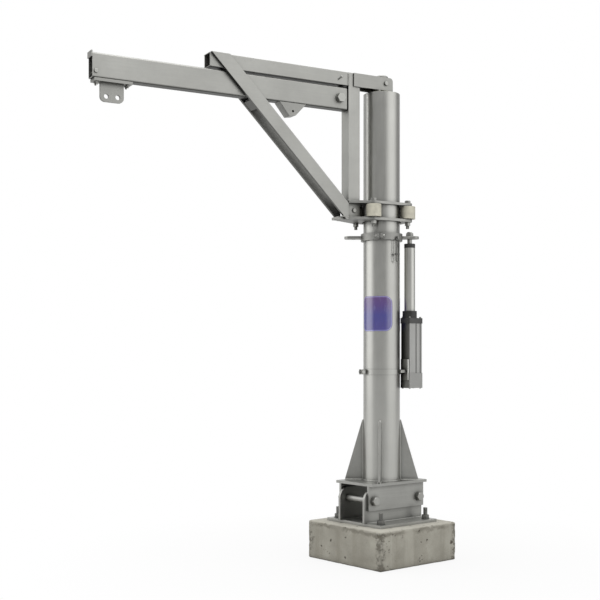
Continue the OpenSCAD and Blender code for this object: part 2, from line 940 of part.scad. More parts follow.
module braces() {
    color(c_steel) on_boom() both_sides() slab(half, half + brace_t) polygon([
        [brace_head_x, frame_top], [brace_head_x - brace_head_w, frame_top],
        [brace_front, collar_low + brace_upright_w + (brace_front - brace_foot_x) * tan(brace_angle)],
        [brace_front, collar_low], [brace_foot_x, collar_low]]);
}

// cross-piece under the boom: a flat bar with a slanted plate along the braces' lower edge
module boom_rest() {
    color(c_steel) on_boom() slab(-half + seat_play, half - seat_play) {
        translate([rest_x - rest_bar_l - 5, rest_low]) square([rest_bar_l, plate_t]);
        translate([rest_x, rest_low]) rotate(brace_angle) translate([-rest_slant_l, 2])
            square([rest_slant_l, plate_t]);
    }
}

// one pad under the boom and two between the boom and the top beam
module glide_pads() {
    color(c_dark) on_boom() {
        translate([rest_x - rest_pad_l - 12, -pad_half, rest_top])
            cube([rest_pad_l, 2 * pad_half, boom_low - body_gap - rest_top]);
        for (pad = [[boom_rear, rear_pad_l], [front_pad_x, front_pad_l]])
            translate([pad[0], -pad_half, beam_low - pad_t])
                cube([pad[1], 2 * pad_half, pad_t]);
    }
}

module plate_outline() {
    x = roller_x;
    y = roller_y;
    r = plate_corner_r;
    square([2 * x, 2 * (y + r)], center = true);
    square([2 * (x + r), 2 * y], center = true);
    at_rollers() circle(r = r);
    polygon([[x, y + r], [plate_nose_x, nose_half], [plate_nose_x, -nose_half], [x, -y - r]]);
}

// two plates round the mast; the lower one has a tongue between the braces
module roller_plates() {
    color(c_steel) on_boom() for (z = [collar_low, plate_up_low]) translate([0, 0, z])
        linear_extrude(plate_t) difference() {
            union() {
                plate_outline();
                if (z == collar_low) translate([roller_x, -half + seat_play])
                    square([plate_tongue_x - roller_x, frame_tube - 2 * seat_play]);
            }
            circle(r = plate_hole_r);
            at_rollers() circle(r = roller_bolt_r + bolt_play);
        }
}

module roller_bolts() {
    top = plate_up_top + washer_t;
    color(c_bright) on_boom() at_rollers() translate([0, 0, top])
        bolt(roller_bolt_d, top - collar_low + roller_bolt_end);
}

module roller_nuts() {
    lock_nut_h = roller_bolt_d;
    color(c_bright) on_boom() at_rollers() {
        translate([0, 0, plate_up_top])
            ring(roller_bolt_r + 7, roller_bolt_r + washer_play, washer_t);
        translate([0, 0, collar_low - lock_nut_h]) nut(roller_bolt_d, lock_nut_h);
    }
}

// the clamped sleeve that each roller turns on, with a thin washer at each end
module roller_sleeves() {
    color(c_bright) on_boom() at_rollers() {
        translate([0, 0, plate_low_top]) ring(sleeve_r, roller_bolt_r + bolt_play, collar_gap);
        for (z = [plate_low_top, plate_up_low - roller_washer_t])
            translate([0, 0, z]) ring(roller_washer_r, sleeve_r + seat_play, roller_washer_t);
    }
}

module roller(x, y) {
    color(c_nylon) on_boom() translate([x, y, plate_low_top + roller_side_gap])
        ring(roller_r, sleeve_r + run_play, roller_h);
}

// forked plate inside the boom's rear end, open outward for the rear bolt
module rear_lug() {
    r = main_r + notch_play;
    length = rear_bolt_x - post_out + rear_plate_end;
    color(c_steel) on_boom() slab(-rear_plate_half, rear_plate_half) difference() {
        translate([post_out, boom_mid - rear_plate_h / 2]) square([length, rear_plate_h]);
        translate([rear_bolt_x, boom_mid]) circle(r = r);
        translate([rear_bolt_x, boom_mid - r]) square([rear_plate_end + over, 2 * r]);
    }
}

// boom

module at_hanger_bolts() {
    for (x = [-hanger_bolt_x, hanger_bolt_x], y = [-hanger_bolt_y, hanger_bolt_y])
        translate([hanger_x + x, y, 0]) children();
}

module boom() {
    w = tube_wall;
    color(c_steel) on_boom() difference() {
        translate([boom_rear, 0, 0]) rotate([90, 0, 90]) linear_extrude(boom_reach - boom_rear)
            difference() {
                translate([-boom_half, boom_low]) round_rect(boom_w, boom_h, boom_corner);
                translate([-boom_half + w, boom_low + w])
                    round_rect(boom_w - 2 * w, boom_h - 2 * w, boom_corner - w);
            }
        cross_hole(rear_bolt_x, boom_mid, main_bolt_d, boom_w);
        cross_hole(tip_bolt_x, tip_bolt_z, small_d, boom_w);
        at_hanger_bolts() translate([0, 0, boom_low - over])
            cylinder(r = collar_screw_d / 2 + bolt_play, h = w + 2 * over);
    }
}

// box-shaped stop lug under the boom and the lip over its open tip
module boom_lugs() {
    color(c_steel) on_boom() {
        translate([stop_x, 0, boom_low]) difference() {
            slab(-boom_half, boom_half) polygon(stop_shape);
            slab(-boom_half + stop_wall, boom_half - stop_wall) polygon(stop_hollow);
            cross_hole(stop_hole[0], stop_hole[1], small_d, boom_w);
        }
        translate([boom_reach, -boom_half, boom_top - lip_low])
            cube([lip_t, boom_w, lip_low + lip_high]);
    }
}

// rear bolt of the boom with its nut, washers and the two sleeves beside the forked plate
module boom_bolt() {
    y = boom_half + washer_t;
    sleeve_in = rear_plate_half + body_gap;
    color(c_bright) on_boom() translate([rear_bolt_x, 0, boom_mid]) {
        cross_bolt(0, 0, main_bolt_d, 2 * y);
        both_sides() translate([0, boom_half, 0])
            to_plus_y() ring(main_washer_r, main_r + washer_play, washer_t);
        both_sides() translate([0, sleeve_in, 0]) to_plus_y()
            ring(rear_sleeve_r, main_r + bolt_play, boom_half - tube_wall - sleeve_in);
    }
}

// flange bolted under the boom's tip, and the plate with two holes that hangs from it
module hanger() {
    r = hanger_plate_r;
    top = boom_low - hanger_t;
    low = top - hanger_plate_h;
    l = hanger_plate_l;
    color(c_steel) on_boom() {
        difference() {
            translate([hanger_x - hanger_l / 2, -boom_half, top])
                cube([hanger_l, boom_w, hanger_t]);
            at_hanger_bolts() translate([0, 0, top - over])
                cylinder(r = collar_screw_d / 2 + bolt_play, h = hanger_t + 2 * over);
        }
        translate([hanger_x, 0, 0]) slab(-hanger_t / 2, hanger_t / 2) difference() {
            union() {
                translate([-l / 2, low + r]) square([l, hanger_plate_h - r + hanger_t]);
                translate([-l / 2 + r, low]) square([l - 2 * r, r]);
                for (x = [-l / 2 + r, l / 2 - r]) translate([x, low + r]) circle(r = r);
            }
            for (x = [-hanger_pitch / 2, hanger_pitch / 2]) translate([x, low + hanger_hole_up])
                circle(r = hanger_hole_r);
        }
    }
}

module hanger_bolts() {
    d = collar_screw_d;
    color(c_bright) on_boom() at_hanger_bolts() {
        translate([0, 0, boom_low + tube_wall])
            bolt(d, tube_wall + hanger_t + nut_h(d) + shank_end);
        translate([0, 0, boom_low - hanger_t - nut_h(d)]) nut(d, nut_h(d));
    }
}

module tip_bolt() {
    color(c_bright) on_boom() cross_bolt(tip_bolt_x, tip_bolt_z, small_d, boom_w);
}

// snap link that hangs from the collar's eye

module link_bend(z, up) {
    translate([0, 0, z]) rotate([up ? 90 : -90, 0, 90])
        rotate_extrude(angle = 180) translate([clip_bend_r, 0]) circle(r = clip_wire_r, $fn = 24);
}

module snap_link() {
    top = clip_z - clip_hang - clip_bend_r;
    low = top - clip_len;
    gate_low = low + 22;
    gate_h = 9;
    gate_half = clip_wire_r + 1.5;
    color(c_bright) rotate([0, 0, clip_angle]) translate([clip_x, 0, 0]) {
        link_bend(top, true);
        link_bend(low, false);
        for (y = [-clip_bend_r, clip_bend_r]) translate([0, y, low])
            cylinder(r = clip_wire_r, h = clip_len, $fn = 24);
        translate([-gate_half, -clip_bend_r - gate_half, gate_low])
            cube([2 * gate_half, 2 * (clip_bend_r + gate_half), gate_h]);
    }
}

footing_block();
base_plate();
anchor_studs();
anchor_nuts();
channel_cheeks();
saddle();
hinge_bolts();
hinge_nuts();
mast_gussets();
lower_mast();
mouth_bush();
clamp_band();
actuator_bracket();
actuator_body();
actuator_gearbox();
actuator_flange();
actuator_collar();
actuator_tube();
actuator_cap();
actuator_motor();
lead_screw();
drive_gears();
upper_mast();
guide_tube();
guide_bush();
collar_halves();
collar_screws();
lift_ears();
actuator_rod();
drive_nut();
rod_nut();
top_plug();
plug_bolts();
head_bearing();
frame_post();
top_beam();
top_bracket();
spindle();
spindle_cap();
frame_bolts();
braces();
boom_rest();
glide_pads();
roller_plates();
roller_bolts();
roller_nuts();
roller_sleeves();
rear_lug();
boom();
boom_lugs();
boom_bolt();
hanger();
hanger_bolts();
tip_bolt();
roller(roller_x, roller_y);  // roller_1
roller(roller_x, -roller_y);  // roller_2
roller(-roller_x, roller_y);  // roller_3
roller(-roller_x, -roller_y);  // roller_4
snap_link();
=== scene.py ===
"""A fold-down davit crane on a concrete block, dressed on its CAD frame.

Lengths are in metres and places in the CAD frame, with +Z up. Bare numbers in the node trees
are shares, tones from 0 to 1, and noise scales.
"""
from math import cos, pi, radians, sin, sqrt, tan

import bmesh
import bpy
from mathutils import Matrix, Vector, noise


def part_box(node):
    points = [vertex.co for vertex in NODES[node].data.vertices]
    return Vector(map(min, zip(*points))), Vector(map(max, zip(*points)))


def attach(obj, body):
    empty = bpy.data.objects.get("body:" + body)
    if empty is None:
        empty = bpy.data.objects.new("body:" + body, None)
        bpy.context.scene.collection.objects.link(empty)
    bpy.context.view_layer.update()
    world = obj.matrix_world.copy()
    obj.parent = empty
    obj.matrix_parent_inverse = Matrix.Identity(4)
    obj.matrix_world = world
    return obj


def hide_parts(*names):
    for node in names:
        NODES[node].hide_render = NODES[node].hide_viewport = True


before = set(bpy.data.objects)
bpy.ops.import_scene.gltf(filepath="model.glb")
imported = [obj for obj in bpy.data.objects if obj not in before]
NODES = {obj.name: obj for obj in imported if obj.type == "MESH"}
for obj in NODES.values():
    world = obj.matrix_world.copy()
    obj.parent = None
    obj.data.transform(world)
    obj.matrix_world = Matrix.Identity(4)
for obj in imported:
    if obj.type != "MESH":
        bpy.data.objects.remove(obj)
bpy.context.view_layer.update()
MM = 0.001
Z = Vector((0, 0, 1))

# the photograph's camera
CAMERA_AT = (-3.4960, -3.6073, 0.9241)
CAMERA_TURN = radians(-39.81)
LENS_MM = 65.23
SHIFT_Y = 0.0966

# levels of the studio's light, 1 is white
ROOM_LIGHT = 0.34
TOP_LIGHT = 0.75
FLOOR_GLOW = 0.88
FAR_FLOOR_GLOW = 0.5

# upright zones round the stage: degrees from the camera's direction, degrees off that middle
# where the fade starts and ends, level
LEFT_ZONE = (-88, 2, 35, 1.50)
RIGHT_ZONE = (64, 4, 44, 1.00)
BACKDROP_ZONE = (180, 5, 48, 1.0)

# the lamp above and the floor
LAMP_WATTS = 50
LAMP_SIDE = 3.0
LAMP_AT = (-0.6, -0.8, 4.6)
LAMP_AIM = (0, 0, 0.3)
FLOOR_R = 30.0
FLOOR_Z = -0.5 * MM

# directions in degrees from +X
CAMERA_SIDE = 229.8
BOOM_ANGLE = 169.5
GUSSET_ANGLE = 42

# sizes of the CAD parts that their boxes don't give
PLATE_T = 12 * MM
GUSSET_T = 10 * MM
GUSSET_REACH = 168 * MM
BRACE_FOOT_X = 215 * MM
BRACE_CUT = 84 * MM
ANCHOR_D = 20 * MM
HINGE_BOLT_D = 24 * MM
SLEEVE_GAP = 146 * MM

# shares of a bolt's diameter, and the washers' thickness
FLATS = 1.5
HEAD_TALL = 0.63
NUT_TALL = 0.8
BOLT_LONG = 2.4
NUT_WIDE = (1.4, 1.62)
WASHER_T = 3 * MM

# edges stay smooth below these angles
SMOOTH_BOLT = 28
SMOOTH_PART = 30
SMOOTH_FILM = 35
SMOOTH_WIRE = 50
SMOOTH_ROUGH = 60

# panels of film on the mast: how far the face stands out, thickness, corner radius, angle that
# one covers, first angle of each, heights
FILM_OUT = 0.35 * MM
FILM_T = 0.3 * MM
PANEL_CORNER = 0.034
PANEL_TURN = 111
PANEL_STARTS = (150, -55)
PANEL_LOW = 1.046
PANEL_HIGH = 1.205

BOOM_TURN = Matrix.Rotation(radians(BOOM_ANGLE), 4, "Z")
BOOM_SIDE = BOOM_TURN @ Vector((0, 1, 0))


# places on the frame

def vertices(node):
    """A CAD node's points, in the CAD frame."""
    return [v.co for v in NODES[node].data.vertices]


def box_in(points, turn):
    """Lowest and highest corner of points, in the axes that turn carries to the CAD frame."""
    back = turn.inverted()
    moved = [back @ p for p in points]
    low = Vector([min(p[i] for p in moved) for i in range(3)])
    high = Vector([max(p[i] for p in moved) for i in range(3)])
    return low, high


def boom_box(node):
    """A node's box in the boom's axes: x out along the boom, y across it, z up."""
    return box_in(vertices(node), BOOM_TURN)


def solids(node):
    """The separate solids of a node, each as a list of its points."""
    mesh = NODES[node].data
    seen = {}
    keys = [tuple(round(c, 6) for c in v.co) for v in mesh.vertices]
    parent = list(range(len(keys)))

    def root(i):
        while parent[i] != i:
            parent[i] = parent[parent[i]]
            i = parent[i]
        return i

    for i, key in enumerate(keys):
        parent[root(i)] = root(seen.setdefault(key, i))
    for edge in mesh.edges:
        a, b = edge.vertices
        parent[root(a)] = root(b)
    groups = {}
    for i in range(len(keys)):
        groups.setdefault(root(i), []).append(mesh.vertices[i].co.copy())
    return sorted(groups.values(), key=lambda points: tuple(points[0]))


MAST_LOW, MAST_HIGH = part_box("lower_mast")
MAST_R = MAST_HIGH.x
BASE_LOW, BASE_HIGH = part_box("base_plate")
BLOCK_LOW, BLOCK_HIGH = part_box("footing_block")
PANEL_TALL = PANEL_HIGH - PANEL_LOW
PANEL_WIDE = radians(PANEL_TURN) * MAST_R


# material nodes

class Nodes:
    """Short names for the nodes of one material."""

    def __init__(self, name):
        self.material = bpy.data.materials.new(name)
        self.material.use_nodes = True
        self.tree = self.material.node_tree
        self.shader = self.tree.nodes["Principled BSDF"]
        coords = self.tree.nodes.new("ShaderNodeTexCoord")
        self.object = coords.outputs["Object"]
        self.uv = coords.outputs["UV"]

    def add(self, kind, **settings):
        """A new shader node of that kind, with its settings."""
        node = self.tree.nodes.new("ShaderNode" + kind)
        for key, value in settings.items():
            setattr(node, key, value)
        return node

    def link(self, source, target):
        self.tree.links.new(source, target)

    def mapping(self, scale, turn=0.0):
        """Object coordinates turned by -turn about Z, then scaled."""
        turned = self.add("Mapping", vector_type="POINT")
        turned.inputs["Rotation"].default_value = (0, 0, -turn)
        self.link(self.object, turned.inputs["Vector"])
        node = self.add("Mapping", vector_type="POINT")
        node.inputs["Scale"].default_value = scale
        self.link(turned.outputs[0], node.inputs["Vector"])
        return node.outputs[0]

    def noise(self, scale, detail=4.0, rough=0.55, vector=None, distort=0.0):
        """A noise from 0 to 1, at the object's coordinates unless vector is given."""
        node = self.add("TexNoise")
        node.inputs["Scale"].default_value = scale
        node.inputs["Detail"].default_value = detail
        node.inputs["Roughness"].default_value = rough
        node.inputs["Distortion"].default_value = distort
        self.link(vector or self.object, node.inputs["Vector"])
        return node.outputs["Fac"]

    def ramp(self, value, stops):
        """A colour ramp; stops are (place, colour) with colours of 3 numbers or one gray."""
        node = self.add("ValToRGB")
        ramp = node.color_ramp
        for number, (place, colour) in enumerate(stops):
            point = ramp.elements[number] if number < 2 else ramp.elements.new(place)
            point.position = place
            rgb = (colour,) * 3 if isinstance(colour, float) else colour
            point.color = (*rgb, 1)
        self.link(value, node.inputs["Fac"])
        return node.outputs["Color"]

    def remap(self, value, low, high, to_low, to_high):
        """Carries low to to_low and high to to_high, and stops there."""
        node = self.add("MapRange")
        for key, number in (("From Min", low), ("From Max", high), ("To Min", to_low),
                            ("To Max", to_high)):
            node.inputs[key].default_value = number
        self.link(value, node.inputs["Value"])
        return node.outputs["Result"]

    def mix(self, factor, a, b, blend="MIX"):
        """Mixes two colours, each a socket or 3 numbers; factor is a socket or a number."""
        node = self.add("Mix", data_type="RGBA", blend_type=blend)
        for value, place in ((factor, 0), (a, 6), (b, 7)):
            if isinstance(value, bpy.types.NodeSocket):
                self.link(value, node.inputs[place])
            else:
                full = value if place == 0 else (*value, 1)
                node.inputs[place].default_value = full
        return node.outputs[2]

    def math(self, operation, a, b=0.0):
        """One sum of two values, each a socket or a number."""
        node = self.add("Math", operation=operation)
        for place, value in enumerate((a, b)):
            if isinstance(value, bpy.types.NodeSocket):
                self.link(value, node.inputs[place])
            else:
                node.inputs[place].default_value = value
        return node.outputs[0]

    def bump(self, height, strength, distance, below=None):
        """A normal raised by height, on top of the normal below if one is given."""
        node = self.add("Bump")
        node.inputs["Strength"].default_value = strength
        node.inputs["Distance"].default_value = distance
        self.link(height, node.inputs["Height"])
        if below is not None:
            self.link(below, node.inputs["Normal"])
        return node.outputs["Normal"]

    def split(self, vector):
        """The X, Y and Z of a vector."""
        node = self.add("SeparateXYZ")
        self.link(vector, node.inputs[0])
        return node.outputs

    def mirror_rays(self, path):
        """1 for rays that metal or glass sends on, 0 for others; path is a light path node."""
        return self.math("MAXIMUM", path.outputs["Is Glossy Ray"],
                         path.outputs["Is Transmission Ray"])

    def edges(self, radius):
        """1 near an edge of the mesh, 0 on its faces, from how far a bevel bends the normal."""
        bevel = self.add("Bevel", samples=4)
        bevel.inputs["Radius"].default_value = radius
        geometry = self.add("NewGeometry")
        dot = self.add("VectorMath", operation="DOT_PRODUCT")
        self.link(bevel.outputs["Normal"], dot.inputs[0])
        self.link(geometry.outputs["Normal"], dot.inputs[1])
        return self.remap(dot.outputs["Value"], 0.995, 0.8, 0.0, 1.0)

    def crevice_shade(self, distance, darkest):
        """Painted shade: a gray that falls to darkest where other surfaces stand close."""
        node = self.add("AmbientOcclusion", samples=6)
        node.inputs["Distance"].default_value = distance
        return self.remap(node.outputs["AO"], 0.35, 0.95, darkest, 1.0)

    def underside_shade(self, darkest):
        """Painted shade: a gray that falls to darkest on faces that look down while the part is
        at rest.
        """
        up = self.split(self.add("TexCoord").outputs["Normal"])["Z"]
        return self.remap(up, -0.35, -0.75, 1.0, darkest)

    def finish(self, colour=None, rough=None, normal=None, **fixed):
        """Joins the sockets to the shader, sets its other inputs and returns the material."""
        for name, source in (("Base Color", colour), ("Roughness", rough), ("Normal", normal)):
            if source is not None:
                self.link(source, self.shader.inputs[name])
        for name, value in fixed.items():
            title = name.replace("_", " ").title().replace("Ior", "IOR")
            self.shader.inputs[title].default_value = value
        return self.material


# depth of grain and scuffs, width of rubbed edges that steel also lightens as a painted edge
# highlight, and how far a crevice's painted shade reaches
FINE_RELIEF = 0.3 * MM
EDGE_WEAR_AND_HIGHLIGHT = 1.8 * MM
WORN_MOULDING = 1.5 * MM
WORN_CONCRETE = 7 * MM
STEEL_REACH = 22 * MM
MOULDED_REACH = 50 * MM
CONCRETE_REACH = 30 * MM


def steel(name, gray, grain, turn=0.0, rough=0.40, warm=0.95, edge_wear_and_highlight=0.35, contrast=1.0,
          shade_in_crevices=0.35, relief=0.04, reach=STEEL_REACH, under_shade=1.0):
    """Satin metal: soft mottle, fine grain, worn edges lightened further as a painted edge
    highlight, and painted shade in crevices and on undersides.
    """
    n = Nodes(name)
    dark = tuple(gray * c * (1 - 0.10 * contrast) for c in (1.0, 1.0, warm))
    light = tuple(gray * c * (1 + 0.08 * contrast) for c in (1.0, 1.0, warm))
    bright = tuple(min(1.0, gray * c * 1.5) for c in (1.0, 1.0, warm))
    mottle = n.noise(6.0, 6.0, 0.6)
    along = n.noise(1.0, 8.0, 0.7, n.mapping(grain, turn))
    smear = n.noise(24.0, 3.0, 0.5, distort=1.2)
    tone = n.math("ADD", n.math("MULTIPLY", mottle, 0.6), n.math("MULTIPLY", along, 0.4))
    colour = n.mix(n.remap(tone, 0.35, 0.65, 0.0, 1.0), dark, light)
    # rubbed edges lightened: wear, and a painted edge highlight
    edge = n.math("MULTIPLY", n.edges(EDGE_WEAR_AND_HIGHLIGHT), n.remap(smear, 0.35, 0.7, 0.3, 1.0))
    colour = n.mix(n.math("MULTIPLY", edge, edge_wear_and_highlight), colour, bright)
    # painted shade where other surfaces stand close
    colour = n.mix(1.0, colour, n.crevice_shade(reach, shade_in_crevices), "MULTIPLY")
    # painted shade on faces that look down
    if under_shade < 1.0:
        colour = n.mix(1.0, colour, n.underside_shade(under_shade), "MULTIPLY")
    gloss = n.math("ADD", n.remap(along, 0.3, 0.7, rough - 0.03, rough + 0.03),
                   n.remap(smear, 0.3, 0.7, -0.02, 0.03))
    normal = n.bump(along, relief, FINE_RELIEF)
    return n.finish(colour, gloss, normal, metallic=1.0)


def moulded(name, tone, rough=0.5, grain=900.0, shade=None):
    """Moulded plastic or paint: fine orange peel, soft rubbed patches, paler edges and, where
    shade is given, painted shade in crevices.
    """
    n = Nodes(name)
    patches = n.noise(35.0, 5.0)
    peel = n.noise(grain, 2.0)
    low = tuple(c * 0.82 for c in tone)
    high = tuple(min(1.0, c * 1.14 + 0.004) for c in tone)
    colour = n.mix(n.remap(patches, 0.3, 0.7, 0.0, 1.0), low, high)
    pale = tuple(min(1.0, c * 1.5 + 0.03) for c in tone)
    colour = n.mix(n.math("MULTIPLY", n.edges(WORN_MOULDING), 0.4), colour, pale)
    # painted shade where other surfaces stand close
    if shade is not None:
        colour = n.mix(1.0, colour, n.crevice_shade(MOULDED_REACH, shade), "MULTIPLY")
    gloss = n.remap(patches, 0.3, 0.7, rough - 0.07, rough + 0.08)
    return n.finish(colour, gloss, n.bump(peel, 0.15, FINE_RELIEF))


def concrete():
    """Cast concrete: blotches, streaks, a dark band and corners, air pits, pale edges and painted
    shade in crevices.
    """
    n = Nodes("concrete")

    def fade(value, deep, shallow, at_deep, at_shallow):
        """A fade between two depths under the block's top, in millimetres."""
        return n.remap(value, BLOCK_HIGH.z - deep * MM, BLOCK_HIGH.z - shallow * MM, at_deep,
                       at_shallow)

    xyz = n.split(n.object)
    height = xyz["Z"]
    blotch = n.noise(6.0, 9.0, 0.68)
    colour = n.ramp(blotch, [(0.30, (0.190, 0.178, 0.147)), (0.50, (0.272, 0.260, 0.220)),
                             (0.70, (0.375, 0.361, 0.312))])
    # dark and pale streaks down the sides
    streak = n.noise(9.0, 5.0, 0.6, n.mapping((1.0, 1.0, 0.06)), 0.3)
    colour = n.mix(n.remap(streak, 0.53, 0.64, 0.0, 0.50), colour, (0.175, 0.160, 0.125))
    colour = n.mix(n.remap(streak, 0.46, 0.36, 0.0, 0.40), colour, (0.430, 0.415, 0.360))
    # a ragged dark band under the top edge
    rough_edge = n.remap(n.noise(26.0, 6.0, 0.7), 0, 1, -35 * MM, 35 * MM)
    ragged = n.math("ADD", height, rough_edge)
    band = n.math("MULTIPLY", fade(ragged, 27, 19, 0.0, 1.0), fade(ragged, 12, 5, 1.0, 0.0))
    patchy = n.remap(n.noise(7.0, 2.0), 0.42, 0.56, 0.0, 0.75)
    colour = n.mix(n.math("MULTIPLY", band, patchy), colour, (0.110, 0.100, 0.075))
    # paler top, darker foot, and sand all over
    colour = n.mix(fade(height, 7, 1, 0.0, 0.55), colour, (0.490, 0.473, 0.415))
    low = n.math("ADD", height, n.math("MULTIPLY", blotch, 0.10))
    colour = n.mix(n.remap(low, 90 * MM, 50 * MM, 0.0, 0.30), colour, (0.200, 0.187, 0.150))
    sand = n.noise(380.0, 3.0, 0.7)
    colour = n.mix(n.remap(sand, 0.35, 0.65, 0.0, 0.26), colour, (0.52, 0.50, 0.44))
    # spotted dark corners
    corner = near_corner(n, xyz, rough_edge)
    spots = n.remap(n.noise(44.0, 6.0, 0.75), 0.46, 0.56, 0.0, 0.80)
    stain = n.math("MULTIPLY", n.math("MULTIPLY", corner, spots),
                   fade(height, 15, 7, 1.0, 0.0))
    colour = n.mix(stain, colour, (0.115, 0.104, 0.080))
    # air pits in three sizes
    small = n.math("MAXIMUM", pits(n, 24.0, 0.10, 11.0, 0.48), pits(n, 70.0, 0.16, 14.0, 0.58))
    pit = n.math("MAXIMUM", small, pits(n, 8.5, 0.045, 7.0, 0.46))
    colour = n.mix(n.math("MULTIPLY", pit, 0.9), colour, (0.055, 0.045, 0.032))
    colour = n.mix(n.math("MULTIPLY", n.edges(WORN_CONCRETE), 0.40), colour, (0.56, 0.54, 0.48))
    # painted shade where other surfaces stand close
    colour = n.mix(1.0, colour, n.crevice_shade(CONCRETE_REACH, 0.60), "MULTIPLY")
    rough = n.remap(blotch, 0.3, 0.7, 0.80, 0.95)
    lumps = n.bump(blotch, 0.35, 6 * MM)
    grains = n.bump(sand, 0.40, 1.2 * MM, lumps)
    solid = n.math("SUBTRACT", 1.0, n.math("MAXIMUM", pit, stain))
    return n.finish(colour, rough, n.bump(solid, 0.9, 3 * MM, grains), metallic=0.0)


def near_corner(n, xyz, shift):
    """1 on the strips of the block's sides next to its upright corners, 0 elsewhere."""
    offsets = []
    for i in (0, 1):
        centre = (BLOCK_LOW[i] + BLOCK_HIGH[i]) / 2
        offsets.append(n.math("ABSOLUTE", n.math("SUBTRACT", xyz[i], centre)))
    nearer = n.math("ADD", n.math("MINIMUM", *offsets), shift)
    half = (BLOCK_HIGH.x - BLOCK_LOW.x) / 2
    return n.remap(nearer, half - 35 * MM, half - 20 * MM, 0.0, 1.0)


def pits(n, scale, size, spread, limit):
    """1 in small round air pits, 0 elsewhere.

    size is a pit's share of its cell; pits only show where a noise of scale spread is over
    limit, so they come in groups.
    """
    soft = 0.06
    cells = n.add("TexVoronoi", feature="F1")
    cells.inputs["Scale"].default_value = scale
    ragged = n.mix(0.04, n.object, n.add("TexNoise").outputs["Color"])
    n.link(ragged, cells.inputs["Vector"])
    hole = n.remap(cells.outputs["Distance"], size + soft, size, 0.0, 1.0)
    return n.math("MULTIPLY", hole, n.remap(n.noise(spread, 3.0), limit, limit + soft, 0.0, 1.0))


def panel_film():
    """Plain printed film: violet above, indigo below, a pale rim and light scuffs."""
    n = Nodes("panel_film")
    uv = n.split(n.uv)
    wave = n.math("ADD", uv["Y"], n.math("MULTIPLY", n.noise(9.0, 3.0), 0.10))
    colour = n.ramp(wave, [(0.05, (0.034, 0.022, 0.220)), (0.50, (0.022, 0.020, 0.230)),
                           (0.78, (0.058, 0.018, 0.190)), (1.0, (0.078, 0.022, 0.170))])
    # a printed line along the rim: the distance to the rim, with its round corners
    squares = []
    for axis, size in (("X", PANEL_WIDE), ("Y", PANEL_TALL)):
        off = n.math("ABSOLUTE", n.math("MULTIPLY", n.math("SUBTRACT", uv[axis], 0.5), size))
        over = n.math("MAXIMUM", n.math("SUBTRACT", off, size / 2 - PANEL_CORNER))
        squares.append(n.math("POWER", over, 2.0))
    inset = n.math("SUBTRACT", PANEL_CORNER, n.math("SQRT", n.math("ADD", *squares)))
    line = n.math("MULTIPLY", n.remap(inset, 1.6 * MM, 2.4 * MM, 0.0, 1.0),
                  n.remap(inset, 4.4 * MM, 5.2 * MM, 1.0, 0.0))
    colour = n.mix(n.math("MULTIPLY", line, 0.8), colour, (0.34, 0.34, 0.68))
    scuff = n.noise(60.0, 6.0, 0.7, n.mapping((1.0, 1.0, 0.2)))
    colour = n.mix(n.remap(scuff, 0.56, 0.72, 0.0, 0.35), colour, (0.20, 0.21, 0.42))
    gloss = n.remap(scuff, 0.3, 0.7, 0.26, 0.42)
    return n.finish(colour, gloss, n.bump(scuff, 0.05, FINE_RELIEF),
                    coat_weight=1.0, coat_roughness=0.16, coat_ior=2.0)


# noise scales along X, Y and Z: low along the grain
UPRIGHT_GRAIN = (160, 160, 5)
LENGTH_GRAIN = (5, 160, 160)
ROUND_GRAIN = (90, 90, 90)
ALONG_BOOM = radians(BOOM_ANGLE)

# The crevice and underside numbers of these materials set how dark their painted shade falls; the
# edge numbers set rubbed edges that are also a painted highlight.
MAST_STEEL = steel("mast_steel", 0.46, UPRIGHT_GRAIN, rough=0.32, contrast=0.6, shade_in_crevices=0.5)
COLLAR_STEEL = steel("collar_steel", 0.32, ROUND_GRAIN, rough=0.46, shade_in_crevices=0.6)
BASE_STEEL = steel("base_steel", 0.43, ROUND_GRAIN, rough=0.45, contrast=1.5, shade_in_crevices=0.75)
PLATE_STEEL = steel("plate_steel", 0.345, LENGTH_GRAIN, rough=0.42, contrast=1.3)
BOOM_STEEL = steel("boom_steel", 0.335, LENGTH_GRAIN, ALONG_BOOM, rough=0.42, shade_in_crevices=0.7,
                   under_shade=0.24)
# the braces' long crevice reach paints shade on the inner faces of the two braces
BRACE_STEEL = steel("brace_steel", 0.34, LENGTH_GRAIN, ALONG_BOOM, rough=0.42, shade_in_crevices=0.25,
                    reach=100 * MM, under_shade=0.36)
FRAME_STEEL = steel("frame_steel", 0.33, LENGTH_GRAIN, ALONG_BOOM, rough=0.42, shade_in_crevices=0.7,
                    under_shade=0.40)
ROLLER_PLATE_STEEL = steel("roller_plate_steel", 0.36, LENGTH_GRAIN, rough=0.42, shade_in_crevices=0.2,
                           under_shade=0.60)
LINK_STEEL = steel("link_steel", 0.12, ROUND_GRAIN, rough=0.30, edge_wear_and_highlight=0.2, shade_in_crevices=0.6)
POST_STEEL = steel("post_steel", 0.35, UPRIGHT_GRAIN, ALONG_BOOM, rough=0.40)
LUG_STEEL = steel("lug_steel", 0.29, LENGTH_GRAIN, ALONG_BOOM, rough=0.44)
BRACKET_STEEL = steel("bracket_steel", 0.30, LENGTH_GRAIN, ALONG_BOOM, rough=0.34)
BRIGHT_STEEL = steel("bright_steel", 0.56, ROUND_GRAIN, rough=0.28, edge_wear_and_highlight=0.2, contrast=0.5)
ROD_STEEL = steel("rod_steel", 0.55, UPRIGHT_GRAIN, rough=0.33, edge_wear_and_highlight=0.1, contrast=0.2,
                  relief=0.0)
BOLT_STEEL = steel("bolt_steel", 0.38, ROUND_GRAIN, rough=0.38, edge_wear_and_highlight=0.8)
ANCHOR_STEEL = steel("anchor_steel", 0.23, ROUND_GRAIN, rough=0.45, edge_wear_and_highlight=0.6)
